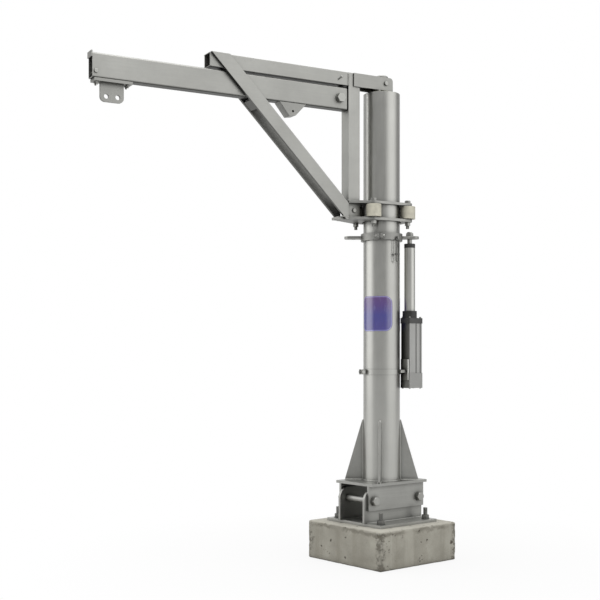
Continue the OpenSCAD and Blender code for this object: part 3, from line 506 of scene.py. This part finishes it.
WELD_STEEL = steel("weld_steel", 0.46, ROUND_GRAIN, rough=0.45, edge_wear_and_highlight=0.2, shade_in_crevices=0.6)
CAST_ALUMINIUM = steel("cast_aluminium", 0.33, ROUND_GRAIN, rough=0.46, warm=0.97)
# its long crevice reach spreads painted shade far over the body's faces
DRAWN_ALUMINIUM = steel("drawn_aluminium", 0.37, UPRIGHT_GRAIN, rough=0.36, warm=0.97,
                        contrast=0.6, shade_in_crevices=0.20, reach=120 * MM)
BRONZE = steel("bronze", 0.42, ROUND_GRAIN, rough=0.35, warm=0.55)
BLACK_PLASTIC = moulded("black_plastic", (0.022, 0.022, 0.021), rough=0.42)
BLACK_PAINT = moulded("black_paint", (0.048, 0.048, 0.046), rough=0.35)
# the nylon's crevice shade paints the rollers dark where the roller plates stand close
NYLON = moulded("nylon", (0.53, 0.508, 0.42), rough=0.48, grain=700.0, shade=0.22)
CONCRETE = concrete()
PANEL_FILM = panel_film()

# the material of each CAD node that is shown
NODE_MATERIALS = {
    MAST_STEEL: "lower_mast upper_mast top_plug clamp_band",
    COLLAR_STEEL: "collar_halves",
    PLATE_STEEL: "channel_cheeks saddle mast_gussets lift_ears",
    BASE_STEEL: "base_plate",
    BOOM_STEEL: "boom",
    LUG_STEEL: "boom_lugs hanger",
    BRACKET_STEEL: "top_bracket",
    BRACE_STEEL: "braces boom_rest",
    ROLLER_PLATE_STEEL: "roller_plates actuator_bracket",
    LINK_STEEL: "snap_link",
    FRAME_STEEL: "top_beam rear_lug",
    POST_STEEL: "frame_post spindle_cap",
    BRIGHT_STEEL: "guide_tube spindle roller_sleeves",
    ROD_STEEL: "actuator_rod actuator_tube lead_screw",
    CAST_ALUMINIUM: "actuator_gearbox",
    DRAWN_ALUMINIUM: "actuator_body",
    BRONZE: "head_bearing drive_nut drive_gears",
    BLACK_PLASTIC: "actuator_collar actuator_cap glide_pads",
    BLACK_PAINT: "actuator_motor actuator_flange",
    NYLON: "roller_1 roller_2 roller_3 roller_4 mouth_bush guide_bush",
    CONCRETE: "footing_block",
    ANCHOR_STEEL: "anchor_studs anchor_nuts",
    BOLT_STEEL: "hinge_bolts hinge_nuts collar_screws rod_nut plug_bolts "
                "frame_bolts roller_bolts roller_nuts boom_bolt hanger_bolts tip_bolt",
}

# edge rounding of the CAD nodes, in millimetres
EDGE_ROUND = {
    1.2: "base_plate channel_cheeks saddle mast_gussets lift_ears roller_plates braces hanger "
         "boom_rest actuator_gearbox actuator_flange",
    1.8: "top_beam frame_post top_bracket",
    0.8: "boom_lugs rear_lug actuator_bracket glide_pads spindle_cap actuator_cap "
         "actuator_collar",
    0.4: "clamp_band collar_halves",
    1.5: "roller_1 roller_2 roller_3 roller_4",
    0.6: "lower_mast upper_mast boom snap_link actuator_tube",
}


# points closer than this are joined before rounding, and faces this flat are merged
JOIN_WITHIN = 0.01 * MM
FLAT_WITHIN = radians(0.3)
# edges that bend less than this stay as they are
ROUND_FROM = radians(40)


def round_edges(node, width):
    """Rounds a CAD node's edges with modifiers; its own vertices stay as they are."""
    weld = node.modifiers.new("join", "WELD")
    weld.merge_threshold = JOIN_WITHIN
    flat = node.modifiers.new("flat", "DECIMATE")
    flat.decimate_type = "DISSOLVE"
    flat.angle_limit = FLAT_WITHIN
    bevel = node.modifiers.new("edge", "BEVEL")
    bevel.width = width
    bevel.segments = 2
    bevel.limit_method = "ANGLE"
    bevel.angle_limit = ROUND_FROM
    bevel.use_clamp_overlap = True
    shade = node.modifiers.new("shade", "WEIGHTED_NORMAL")
    shade.keep_sharp = True


def dress_nodes():
    """Gives the CAD nodes their materials and rounded edges."""
    for material, names in NODE_MATERIALS.items():
        for name in names.split():
            mesh = NODES[name].data
            mesh.materials.clear()
            mesh.materials.append(material)
    for width, names in EDGE_ROUND.items():
        for name in names.split():
            round_edges(NODES[name], width * MM)


# mesh tools

def new_piece(name, bm, material, body, smooth_below):
    """Makes an object of bm that rides on body, with its edges smooth below that angle."""
    bmesh.ops.recalc_face_normals(bm, faces=bm.faces)
    for face in bm.faces:
        face.smooth = True
    for edge in bm.edges:
        if len(edge.link_faces) == 2 and edge.calc_face_angle(0) > radians(smooth_below):
            edge.smooth = False
    mesh = bpy.data.meshes.new(name)
    bm.to_mesh(mesh)
    bm.free()
    piece = bpy.data.objects.new(name, mesh)
    bpy.context.scene.collection.objects.link(piece)
    mesh.materials.append(material)
    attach(piece, body)
    return piece


def place(at, direction):
    """A matrix that carries +Z to direction and the origin to at."""
    turn = Vector(direction).to_track_quat("Z", "Y").to_matrix().to_4x4()
    return Matrix.Translation(Vector(at)) @ turn


def add_rings(bm, rings, where, closed=False):
    """Joins rings of equally many points; closed also caps the first and the last."""
    rows = [[bm.verts.new(where @ Vector(p)) for p in ring] for ring in rings]
    count = len(rows[0])
    for low, high in zip(rows, rows[1:]):
        for i in range(count):
            j = (i + 1) % count
            bm.faces.new((low[i], low[j], high[j], high[i]))
    if closed:
        bm.faces.new(rows[0][::-1])
        bm.faces.new(rows[-1])


def circle(r, z, count=32):
    """Points round the Z axis."""
    return [(r * cos(2 * pi * i / count), r * sin(2 * pi * i / count), z) for i in range(count)]


def add_lathe(bm, profile, where, count=32, closed=True):
    """A turned part; profile is (radius, height) points."""
    add_rings(bm, [circle(r, z, count) for r, z in profile], where, closed)


def add_hexagon(bm, across, height, where, bore=0.0, turn=0.0):
    """A hexagon head or nut with the round chamfer on its outer face, and on both for a nut."""
    count = 48
    flat = across / 2
    land = flat * 0.95
    slope = tan(radians(30))

    def hexagon(z, side):
        points = []
        for i in range(count):
            angle = 2 * pi * i / count
            r = flat / cos((angle + turn) % (pi / 3) - pi / 6)
            points.append((r * cos(angle), r * sin(angle), z - side * (r - land) * slope))
        return points

    top = [hexagon(height, 1), circle(land, height, count)]
    if bore:
        rings = [circle(bore, 0, count), circle(land, 0, count), hexagon(0, -1)] + top
        rings += [circle(bore * 1.06, height, count), circle(bore, height - bore * 0.06, count),
                  circle(bore, 0, count)]
        add_rings(bm, rings, where)
    else:
        inner = [circle(land * 0.5, height, count)]
        add_rings(bm, [hexagon(0, 0)] + top + inner, where, closed=True)


def add_thread(bm, r, length, pitch, where, start=0.0):
    """A stud's threaded end: a helical V groove under a chamfered tip."""
    count = 24
    depth = 0.54 * pitch
    rows = int(length / pitch * 4)
    rings = []
    for row in range(rows + 1):
        z = start + length * row / rows
        ring = []
        for i in range(count):
            turn = (z / pitch - i / count) % 1.0
            groove = depth * (1 - abs(2 * turn - 1))
            left = start + length - z
            here = min(r, r - depth + left) - groove * min(1.0, left / pitch)
            angle = 2 * pi * i / count
            ring.append((here * cos(angle), here * sin(angle), z))
        rings.append(ring)
    add_rings(bm, rings, where, closed=True)


def add_washer(bm, outer, inner, height, where, e=0.3 * MM):
    """A ring whose outer edges have a chamfer of width e."""
    profile = [(inner, 0), (outer - e, 0), (outer, e), (outer, height - e), (outer - e, height),
               (inner, height), (inner, 0)]
    add_lathe(bm, profile, where, 40, closed=False)


def add_weld(bm, points, r):
    """A weld bead of radius r along points, with the ripples of its passes."""
    pitch = 4 * MM
    path = [Vector(p) for p in points]
    rings = []
    travelled = 0.0
    for start, end in zip(path, path[1:]):
        length = (end - start).length
        steps = max(2, int(length / (pitch / 2)))
        where = place((0, 0, 0), end - start)
        for step in range(steps):
            along = start.lerp(end, step / steps)
            phase = (travelled + length * step / steps) / pitch
            swell = r * (0.86 + 0.14 * abs(sin(pi * phase)) + 0.10 * noise.noise(along * 90))
            rings.append([along + where @ Vector(p) for p in circle(swell, 0, 8)])
        travelled += length
    where = place((0, 0, 0), path[-1] - path[-2])
    rings.append([path[-1] + where @ Vector(p) for p in circle(r * 0.5, 0, 8)])
    add_rings(bm, rings, Matrix.Identity(4), closed=True)


# concrete block

def make_block():
    """The cast block with rounded, chipped edges, inside the CAD block."""
    radius = 9 * MM
    cell = 10 * MM
    worn_deep = 1.8 * MM
    chip_deep = 9 * MM
    face_deep = 0.6 * MM
    size = BLOCK_HIGH - BLOCK_LOW
    half = size / 2
    centre = (BLOCK_LOW + BLOCK_HIGH) / 2
    bm = bmesh.new()
    bmesh.ops.create_cube(bm, size=1.0, matrix=Matrix.Translation(centre)
                          @ Matrix.Diagonal((*size, 1)))
    bmesh.ops.subdivide_edges(bm, edges=bm.edges, cuts=int(size.x / cell), use_grid_fill=True)
    for vert in bm.verts:
        p = vert.co - centre
        inner = Vector([max(-(half[i] - radius), min(half[i] - radius, p[i])) for i in range(3)])
        out = p - inner
        if out.length < 1e-9:
            continue
        sides = sum(1 for i in range(3) if abs(p[i]) > half[i] - radius * 1.01)
        if sides > 1:
            worn = worn_deep * max(0.0, noise.noise(vert.co * 38) + 0.15)
            chip = chip_deep * max(0.0, noise.noise(vert.co * 21 + Vector((7, 3, 5))) - 0.25)
            p = inner + out.normalized() * (radius - worn - chip)
        else:
            p = p - out.normalized() * face_deep * (1 + noise.noise(vert.co * 25))
        vert.co = centre + p
    block = new_piece("concrete_block", bm, CONCRETE, "footing",
                      SMOOTH_ROUGH)
    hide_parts("footing_block")


# fasteners

def on_axis(points, direction):
    """A solid's start and end along direction, its section's middle and its two widths."""
    turn = place((0, 0, 0), direction)
    low, high = box_in(points, turn)
    middle = turn @ Vector(((low.x + high.x) / 2, (low.y + high.y) / 2, 0))
    return low.z, high.z, middle, high.x - low.x, high.y - low.y


def make_bolts(node, d, direction, body, pitch, threaded):
    """Redraws the bolts of a CAD node, whose heads face direction.

    A solid longer than BOLT_LONG diameters is a bolt, one whose width lies within NUT_WIDE is
    a nut, and the rest are rings or washers.
    """
    narrow, broad = (share * d for share in NUT_WIDE)
    clear = 0.05 * MM
    direction = Vector(direction).normalized()
    bm = bmesh.new()
    for points in solids(node):
        start, end, middle, wide, deep = on_axis(points, direction)
        width = min(wide, deep)
        foot = place(middle + direction * start, direction)
        if end - start > BOLT_LONG * d:
            head = end - HEAD_TALL * d
            plain = head - start - threaded
            add_hexagon(bm, FLATS * d, end - head, place(middle + direction * head, direction))
            where = place(middle + direction * head, -direction)
            add_lathe(bm, [(d / 2, 0), (d / 2, plain)], where)
            add_thread(bm, d / 2, threaded, pitch, where, plain)
        elif narrow < width < broad:
            add_hexagon(bm, FLATS * d, end - start, foot, d / 2)
        else:
            add_washer(bm, wide / 2, d / 2 + clear, end - start, foot)
    piece = new_piece(node + "_detailed", bm, BOLT_STEEL, body, SMOOTH_BOLT)
    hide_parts(node)


def make_anchors():
    """Threaded anchor studs with nuts and washers."""
    r = ANCHOR_D / 2
    pitch = 2.5 * MM
    buried_thread = 10 * MM
    washer_r = r + 8.5 * MM
    washer_z = BASE_HIGH.z
    nut_z = washer_z + WASHER_T
    studs, nuts = bmesh.new(), bmesh.new()
    for points in solids("anchor_studs"):
        start, end, middle = on_axis(points, Z)[:3]
        plain = BLOCK_HIGH.z - buried_thread - start
        where = place(middle + Z * start, Z)
        add_lathe(studs, [(r, 0), (r, plain)], where)
        add_thread(studs, r, end - start - plain, pitch, where, plain)
        add_washer(nuts, washer_r, r, WASHER_T, place(middle + Z * washer_z, Z))
        add_hexagon(nuts, FLATS * ANCHOR_D, NUT_TALL * ANCHOR_D, place(middle + Z * nut_z, Z), r)
    piece = new_piece("anchor_studs_threaded", studs, ANCHOR_STEEL, "footing",
                      SMOOTH_BOLT)
    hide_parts("anchor_studs")
    piece = new_piece("anchor_nuts_chamfered", nuts, ANCHOR_STEEL, "footing",
                      SMOOTH_BOLT)
    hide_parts("anchor_nuts")


# mast panels

def make_panel(name, start):
    """A thin film with round corners on the mast, from direction start on."""
    r = MAST_R + FILM_OUT
    corner = PANEL_CORNER
    rows, columns = 28, 40
    half_h = PANEL_TALL / 2
    half_w = radians(PANEL_TURN) * r / 2
    middle = radians(start + PANEL_TURN / 2)
    middle_z = (PANEL_LOW + PANEL_HIGH) / 2
    bm = bmesh.new()
    uv = bm.loops.layers.uv.new("UVMap")
    grid = []
    places = {}
    for row in range(rows + 1):
        up = -half_h * cos(pi * row / rows)
        over = max(0.0, abs(up) - (half_h - corner))
        width = half_w - corner + sqrt(max(0.0, corner ** 2 - over ** 2))
        line = []
        for column in range(columns + 1):
            across = width * (2 * column / columns - 1)
            angle = middle + across / r
            vert = bm.verts.new((r * cos(angle), r * sin(angle), middle_z + up))
            places[vert] = (0.5 + across / (2 * half_w), 0.5 + up / (2 * half_h))
            line.append(vert)
        grid.append(line)
    for below, above in zip(grid, grid[1:]):
        for i in range(columns):
            face = bm.faces.new((below[i], below[i + 1], above[i + 1], above[i]))
            for loop in face.loops:
                loop[uv].uv = places[loop.vert]
    piece = new_piece(name, bm, PANEL_FILM, "lower_mast", SMOOTH_FILM)
    thick = piece.modifiers.new("thick", "SOLIDIFY")
    thick.thickness = FILM_T
    thick.offset = -1


# welds

def make_foot_welds():
    """Beads round the mast's foot, round the gussets and along the cheeks."""
    bead = 3.5 * MM
    rise = bead * 0.3
    foot = MAST_LOW.z
    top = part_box("mast_gussets")[1].z
    half_t = GUSSET_T / 2
    bm = bmesh.new()
    ring = circle(MAST_R + rise, foot + rise, 72)
    add_weld(bm, ring + ring[:1], bead)
    for angle in (GUSSET_ANGLE, -GUSSET_ANGLE, 180 - GUSSET_ANGLE, 180 + GUSSET_ANGLE):
        turn = Matrix.Rotation(radians(angle), 4, "Z")
        for side in (-1, 1):
            y = side * (half_t + rise)
            x = sqrt(MAST_R ** 2 - y ** 2) + rise
            add_weld(bm, [turn @ Vector((x, y, foot)), turn @ Vector((x, y, top))], bead)
            add_weld(bm, [turn @ Vector((x, y, foot + rise)),
                          turn @ Vector((GUSSET_REACH, y, foot + rise))], bead)
        x = MAST_R + 1 * MM
        cap = top + bead * 0.2
        add_weld(bm, [turn @ Vector((x, -half_t, cap)), turn @ Vector((x, half_t, cap))],
                 bead * 1.4)
    new_piece("saddle_welds", bm, WELD_STEEL, "lower_mast", SMOOTH_ROUGH)
    bm = bmesh.new()
    low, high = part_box("channel_cheeks")
    z = BASE_HIGH.z + rise
    left = max(low.x, BASE_LOW.x) + bead
    right = min(high.x, BASE_HIGH.x) - bead
    for side in (-1, 1):
        for y in (high.y + rise, high.y - PLATE_T - rise):
            add_weld(bm, [(left, side * y, z), (right, side * y, z)], bead)
    new_piece("cheek_welds", bm, WELD_STEEL, "footing", SMOOTH_ROUGH)


def add_frame_weld(bm, r, *points):
    """A weld bead along points that are given in the boom's axes."""
    add_weld(bm, [BOOM_TURN @ Vector(p) for p in points], r)


def make_frame_welds():
    """Beads round the post's foot, where it meets the beam, and at the ends of the braces."""
    bead = 3.0 * MM
    thin = bead * 0.8
    out = bead * 0.3
    post_low, post_high = boom_box("frame_post")
    beam_low, beam_high = boom_box("top_beam")
    brace_low, brace_high = boom_box("braces")
    foot = boom_box("roller_plates")[1].z + out
    face = beam_high.y + out
    left, right = post_low.x - out, post_high.x + out
    bm = bmesh.new()
    add_frame_weld(bm, bead, (left, -face, foot), (right, -face, foot), (right, face, foot),
                   (left, face, foot), (left, -face, foot))
    # how far a brace leans out for its height, and where its edge passes the beam's underside
    lean = (brace_high.x - BRACE_FOOT_X) / (brace_high.z - brace_low.z)
    meets = brace_high.x - (brace_high.z - beam_low.z) * lean
    lower = brace_low.z + PLATE_T
    for side in (-1, 1):
        y = side * face
        add_frame_weld(bm, bead, (post_high.x, y, beam_low.z),
                       (post_high.x, y, beam_high.z - bead))
        y = side * (brace_high.y - 0.2 * MM)
        add_frame_weld(bm, thin, (brace_low.x + 2 * MM, y, lower),
                       (brace_low.x + 40 * MM, y, lower))
        y = side * face
        add_frame_weld(bm, thin, (meets - BRACE_CUT, y, beam_low.z - out),
                       (meets, y, beam_low.z - out))
    new_piece("frame_welds", bm, WELD_STEEL, "swing_frame", SMOOTH_ROUGH)


# actuator and small hardware

def add_socket_screw(bm, r, height, where):
    """A cap screw with a hexagon socket, on its foot's middle."""
    count = 24
    e = r * 0.14
    socket = r * 0.55
    floor = height * 0.35

    def hexagon(z):
        ring = []
        for i in range(count):
            angle = 2 * pi * i / count
            reach = socket * cos(pi / 6) / cos(angle % (pi / 3) - pi / 6)
            ring.append((reach * cos(angle), reach * sin(angle), z))
        return ring

    rings = [circle(r, 0, count), circle(r, height - e, count), circle(r - e, height, count),
             hexagon(height), hexagon(floor)]
    add_rings(bm, rings, where, closed=True)


def make_actuator_screws():
    """Four cap screws on the front flange and four tie-rod ends under the gearbox."""
    inset = 8.5 * MM
    flange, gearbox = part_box("actuator_flange"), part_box("actuator_gearbox")
    bm = bmesh.new()
    for (low, high), z, way, r, height in (
            (flange, flange[1].z, Z, 4.5 * MM, 6 * MM),
            (gearbox, gearbox[0].z, -Z, 4.0 * MM, 3 * MM)):
        for x in (low.x + inset, high.x - inset):
            for y in (low.y + inset, high.y - inset):
                add_socket_screw(bm, r, height, place((x, y, z), way))
    new_piece("actuator_screws", bm, BOLT_STEEL, "lower_mast", SMOOTH_PART)


def make_hinge_sleeves():
    """Spacer tubes on the two hinge bolts, between the cheeks."""
    r = 15.5 * MM
    bore = HINGE_BOLT_D / 2 + 0.1 * MM
    bm = bmesh.new()
    for points in solids("hinge_bolts"):
        low, high = box_in(points, Matrix.Identity(4))
        at = ((low.x + high.x) / 2, -SLEEVE_GAP / 2, (low.z + high.z) / 2)
        add_washer(bm, r, bore, SLEEVE_GAP, place(at, (0, 1, 0)), 1 * MM)
    new_piece("hinge_sleeves", bm, PLATE_STEEL, "lower_mast", SMOOTH_PART)


def make_bracket_lip():
    """The folded front lip of the actuator's bracket plate."""
    wide = 7 * MM
    thick = 1.6 * MM
    low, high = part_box("actuator_bracket")
    body_low, body_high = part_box("actuator_body")
    right = min(high.x, body_low.x)
    front = (body_low.y + body_high.y) / 2 - 21.5 * MM
    at = (right - wide / 2, front - thick / 2, (low.z + high.z) / 2)
    size = (wide, thick, high.z - low.z - 2 * MM)
    turn = Matrix.Rotation(radians(-20), 4, "Z")
    bm = bmesh.new()
    bmesh.ops.create_cube(bm, size=1, matrix=Matrix.Translation(at) @ turn
                          @ Matrix.Diagonal((*size, 1)))
    bmesh.ops.bevel(bm, geom=bm.edges, offset=0.4 * MM, segments=2, affect="EDGES")
    new_piece("bracket_lip", bm, BRIGHT_STEEL, "lower_mast", SMOOTH_WIRE)


def make_beam_pin():
    """A small lock pin with a round head on the top beam, beside the post, and its clip."""
    beam_low, beam_high = boom_box("top_beam")
    x = beam_low.x + 34 * MM
    z = beam_high.z - 23 * MM
    pin = bmesh.new()
    at = BOOM_TURN @ Vector((x, beam_high.y, z))
    profile = [(5 * MM, 0), (5 * MM, 2 * MM), (4 * MM, 3 * MM), (2 * MM, 3.2 * MM)]
    add_lathe(pin, profile, place(at, BOOM_SIDE), 24)
    new_piece("beam_pin", pin, BOLT_STEEL, "swing_frame", SMOOTH_PART)
    wire_r = 1.4 * MM
    wire = 32 * MM
    slope = BOOM_TURN @ Vector((0.80, 0, -0.60))
    profile = [(wire_r * 0.6, 0), (wire_r, wire_r), (wire_r, wire - wire_r), (wire_r * 0.6, wire)]
    clip = bmesh.new()
    for rise in (0.6 * MM, 5.4 * MM):
        at = BOOM_TURN @ Vector((x - 4 * MM, beam_high.y + wire_r, z + rise))
        add_lathe(clip, profile, place(at, slope), 10)
    new_piece("beam_pin_clip", clip, LINK_STEEL, "swing_frame", SMOOTH_WIRE)


# stage

def make_camera():
    """The photograph's level camera, with its shift."""
    data = bpy.data.cameras.new("camera")
    data.lens = LENS_MM
    data.sensor_width = 36
    data.shift_y = SHIFT_Y
    camera = bpy.data.objects.new("camera", data)
    camera.location = CAMERA_AT
    camera.rotation_euler = (radians(90), 0, CAMERA_TURN)
    bpy.context.scene.collection.objects.link(camera)
    bpy.context.scene.camera = camera


def stage_disc():
    """The flat disc that the crane stands on, for the pictures only."""
    bm = bmesh.new()
    bmesh.ops.create_circle(bm, cap_ends=True, radius=FLOOR_R, segments=96)
    mesh = bpy.data.meshes.new("floor")
    bm.to_mesh(mesh)
    bm.free()
    floor = bpy.data.objects.new("floor", mesh)
    floor.location.z = FLOOR_Z
    bpy.context.scene.collection.objects.link(floor)
    return floor


def make_floor():
    """A pale floor that is nearly white for the camera and keeps a faint shadow."""
    n = Nodes("floor")
    n.shader.inputs["Base Color"].default_value = (0.58, 0.58, 0.575, 1)
    n.shader.inputs["Roughness"].default_value = 0.9
    glow = n.add("Emission")
    glow.inputs["Color"].default_value = (1, 1, 1, 1)
    glow.inputs["Strength"].default_value = 1.0
    path = n.add("LightPath")
    length = n.add("VectorMath", operation="LENGTH")
    n.link(n.object, length.inputs[0])
    # shares by the distance from the middle of the stage
    near = n.remap(length.outputs["Value"], 0.25, 1.6, FLOOR_GLOW, 1.0)
    far = n.remap(length.outputs["Value"], 1.2, 3.5, 0.0, FAR_FLOOR_GLOW)
    shown = n.math("MAXIMUM", n.math("MULTIPLY", path.outputs["Is Camera Ray"], near),
                   n.math("MULTIPLY", n.mirror_rays(path), far))
    mix = n.add("MixShader")
    n.link(shown, mix.inputs[0])
    n.link(n.shader.outputs[0], mix.inputs[1])
    n.link(glow.outputs[0], mix.inputs[2])
    n.link(mix.outputs[0], n.tree.nodes["Material Output"].inputs["Surface"])
    stage_disc().data.materials.append(n.material)


class WorldNodes(Nodes):
    """The same short names for the world's nodes."""

    def __init__(self):
        world = bpy.data.worlds.new("studio")
        bpy.context.scene.world = world
        world.use_nodes = True
        self.tree = world.node_tree
        self.tree.nodes.clear()
        coords = self.tree.nodes.new("ShaderNodeTexCoord")
        self.object = coords.outputs["Generated"]

    def zone(self, off_camera, inner, outer, level):
        """A soft upright zone of light; its numbers are those of LEFT_ZONE."""
        angle = radians(CAMERA_SIDE + off_camera)
        flat = self.add("VectorMath", operation="MULTIPLY")
        self.link(self.object, flat.inputs[0])
        flat.inputs[1].default_value = (1, 1, 0)
        unit = self.add("VectorMath", operation="NORMALIZE")
        self.link(flat.outputs[0], unit.inputs[0])
        dot = self.add("VectorMath", operation="DOT_PRODUCT")
        self.link(unit.outputs[0], dot.inputs[0])
        dot.inputs[1].default_value = (cos(angle), sin(angle), 0)
        zone = self.add("MapRange", interpolation_type="SMOOTHSTEP")
        zone.inputs["From Min"].default_value = cos(radians(outer))
        zone.inputs["From Max"].default_value = cos(radians(inner))
        zone.inputs["To Max"].default_value = level
        self.link(dot.outputs["Value"], zone.inputs["Value"])
        return zone.outputs["Result"]


def make_world():
    """White for the camera and for metal that mirrors the backdrop; else a studio's light."""
    n = WorldNodes()
    up = n.split(n.object)["Z"]
    zones = n.math("ADD", n.zone(*LEFT_ZONE), n.zone(*RIGHT_ZONE))
    height = n.remap(up, 0.45, 0.95, 1.0, 0.0)
    overhead = n.remap(up, 0.25, 0.60, 0.0, TOP_LIGHT)
    level = n.math("ADD", n.math("MULTIPLY", zones, height), n.math("ADD", overhead, ROOM_LIGHT))
    path = n.add("LightPath")
    backdrop = n.math("MULTIPLY", n.mirror_rays(path), n.zone(*BACKDROP_ZONE))
    shown = n.math("MAXIMUM", path.outputs["Is Camera Ray"], backdrop)
    white = n.add("Background")
    white.inputs["Color"].default_value = (1, 1, 1, 1)
    white.inputs["Strength"].default_value = 1.0
    studio = n.add("Background")
    studio.inputs["Color"].default_value = (1, 1, 0.995, 1)
    n.link(level, studio.inputs["Strength"])
    mix = n.add("MixShader")
    n.link(shown, mix.inputs[0])
    n.link(studio.outputs[0], mix.inputs[1])
    n.link(white.outputs[0], mix.inputs[2])
    n.link(mix.outputs[0], n.add("OutputWorld").inputs["Surface"])


def make_top_light():
    """One wide soft lamp above the crane."""
    data = bpy.data.lights.new("top_softbox", "AREA")
    data.shape = "SQUARE"
    data.size = LAMP_SIDE
    data.energy = LAMP_WATTS
    lamp = bpy.data.objects.new("top_softbox", data)
    lamp.location = LAMP_AT
    ray = Vector(LAMP_AIM) - lamp.location
    lamp.rotation_euler = ray.to_track_quat("-Z", "Y").to_euler()
    bpy.context.scene.collection.objects.link(lamp)


bpy.context.scene.view_settings.view_transform = "Standard"
dress_nodes()
make_camera()
make_world()
make_top_light()
make_floor()
make_block()
make_anchors()
make_bolts("roller_bolts", 16 * MM, Z, "swing_frame", pitch=2 * MM, threaded=34 * MM)
make_bolts("frame_bolts", 12 * MM, BOOM_SIDE, "swing_frame", pitch=1.75 * MM, threaded=20 * MM)
make_bolts("tip_bolt", 10 * MM, BOOM_SIDE, "boom", pitch=1.5 * MM, threaded=18 * MM)
make_bolts("hinge_bolts", HINGE_BOLT_D, (0, -1, 0), "lower_mast", pitch=3 * MM,
           threaded=40 * MM)
for number, start in enumerate(PANEL_STARTS, 1):
    make_panel("mast_panel_%d" % number, start)
make_foot_welds()
make_frame_welds()
make_actuator_screws()
make_hinge_sleeves()
make_bracket_lip()
make_beam_pin()
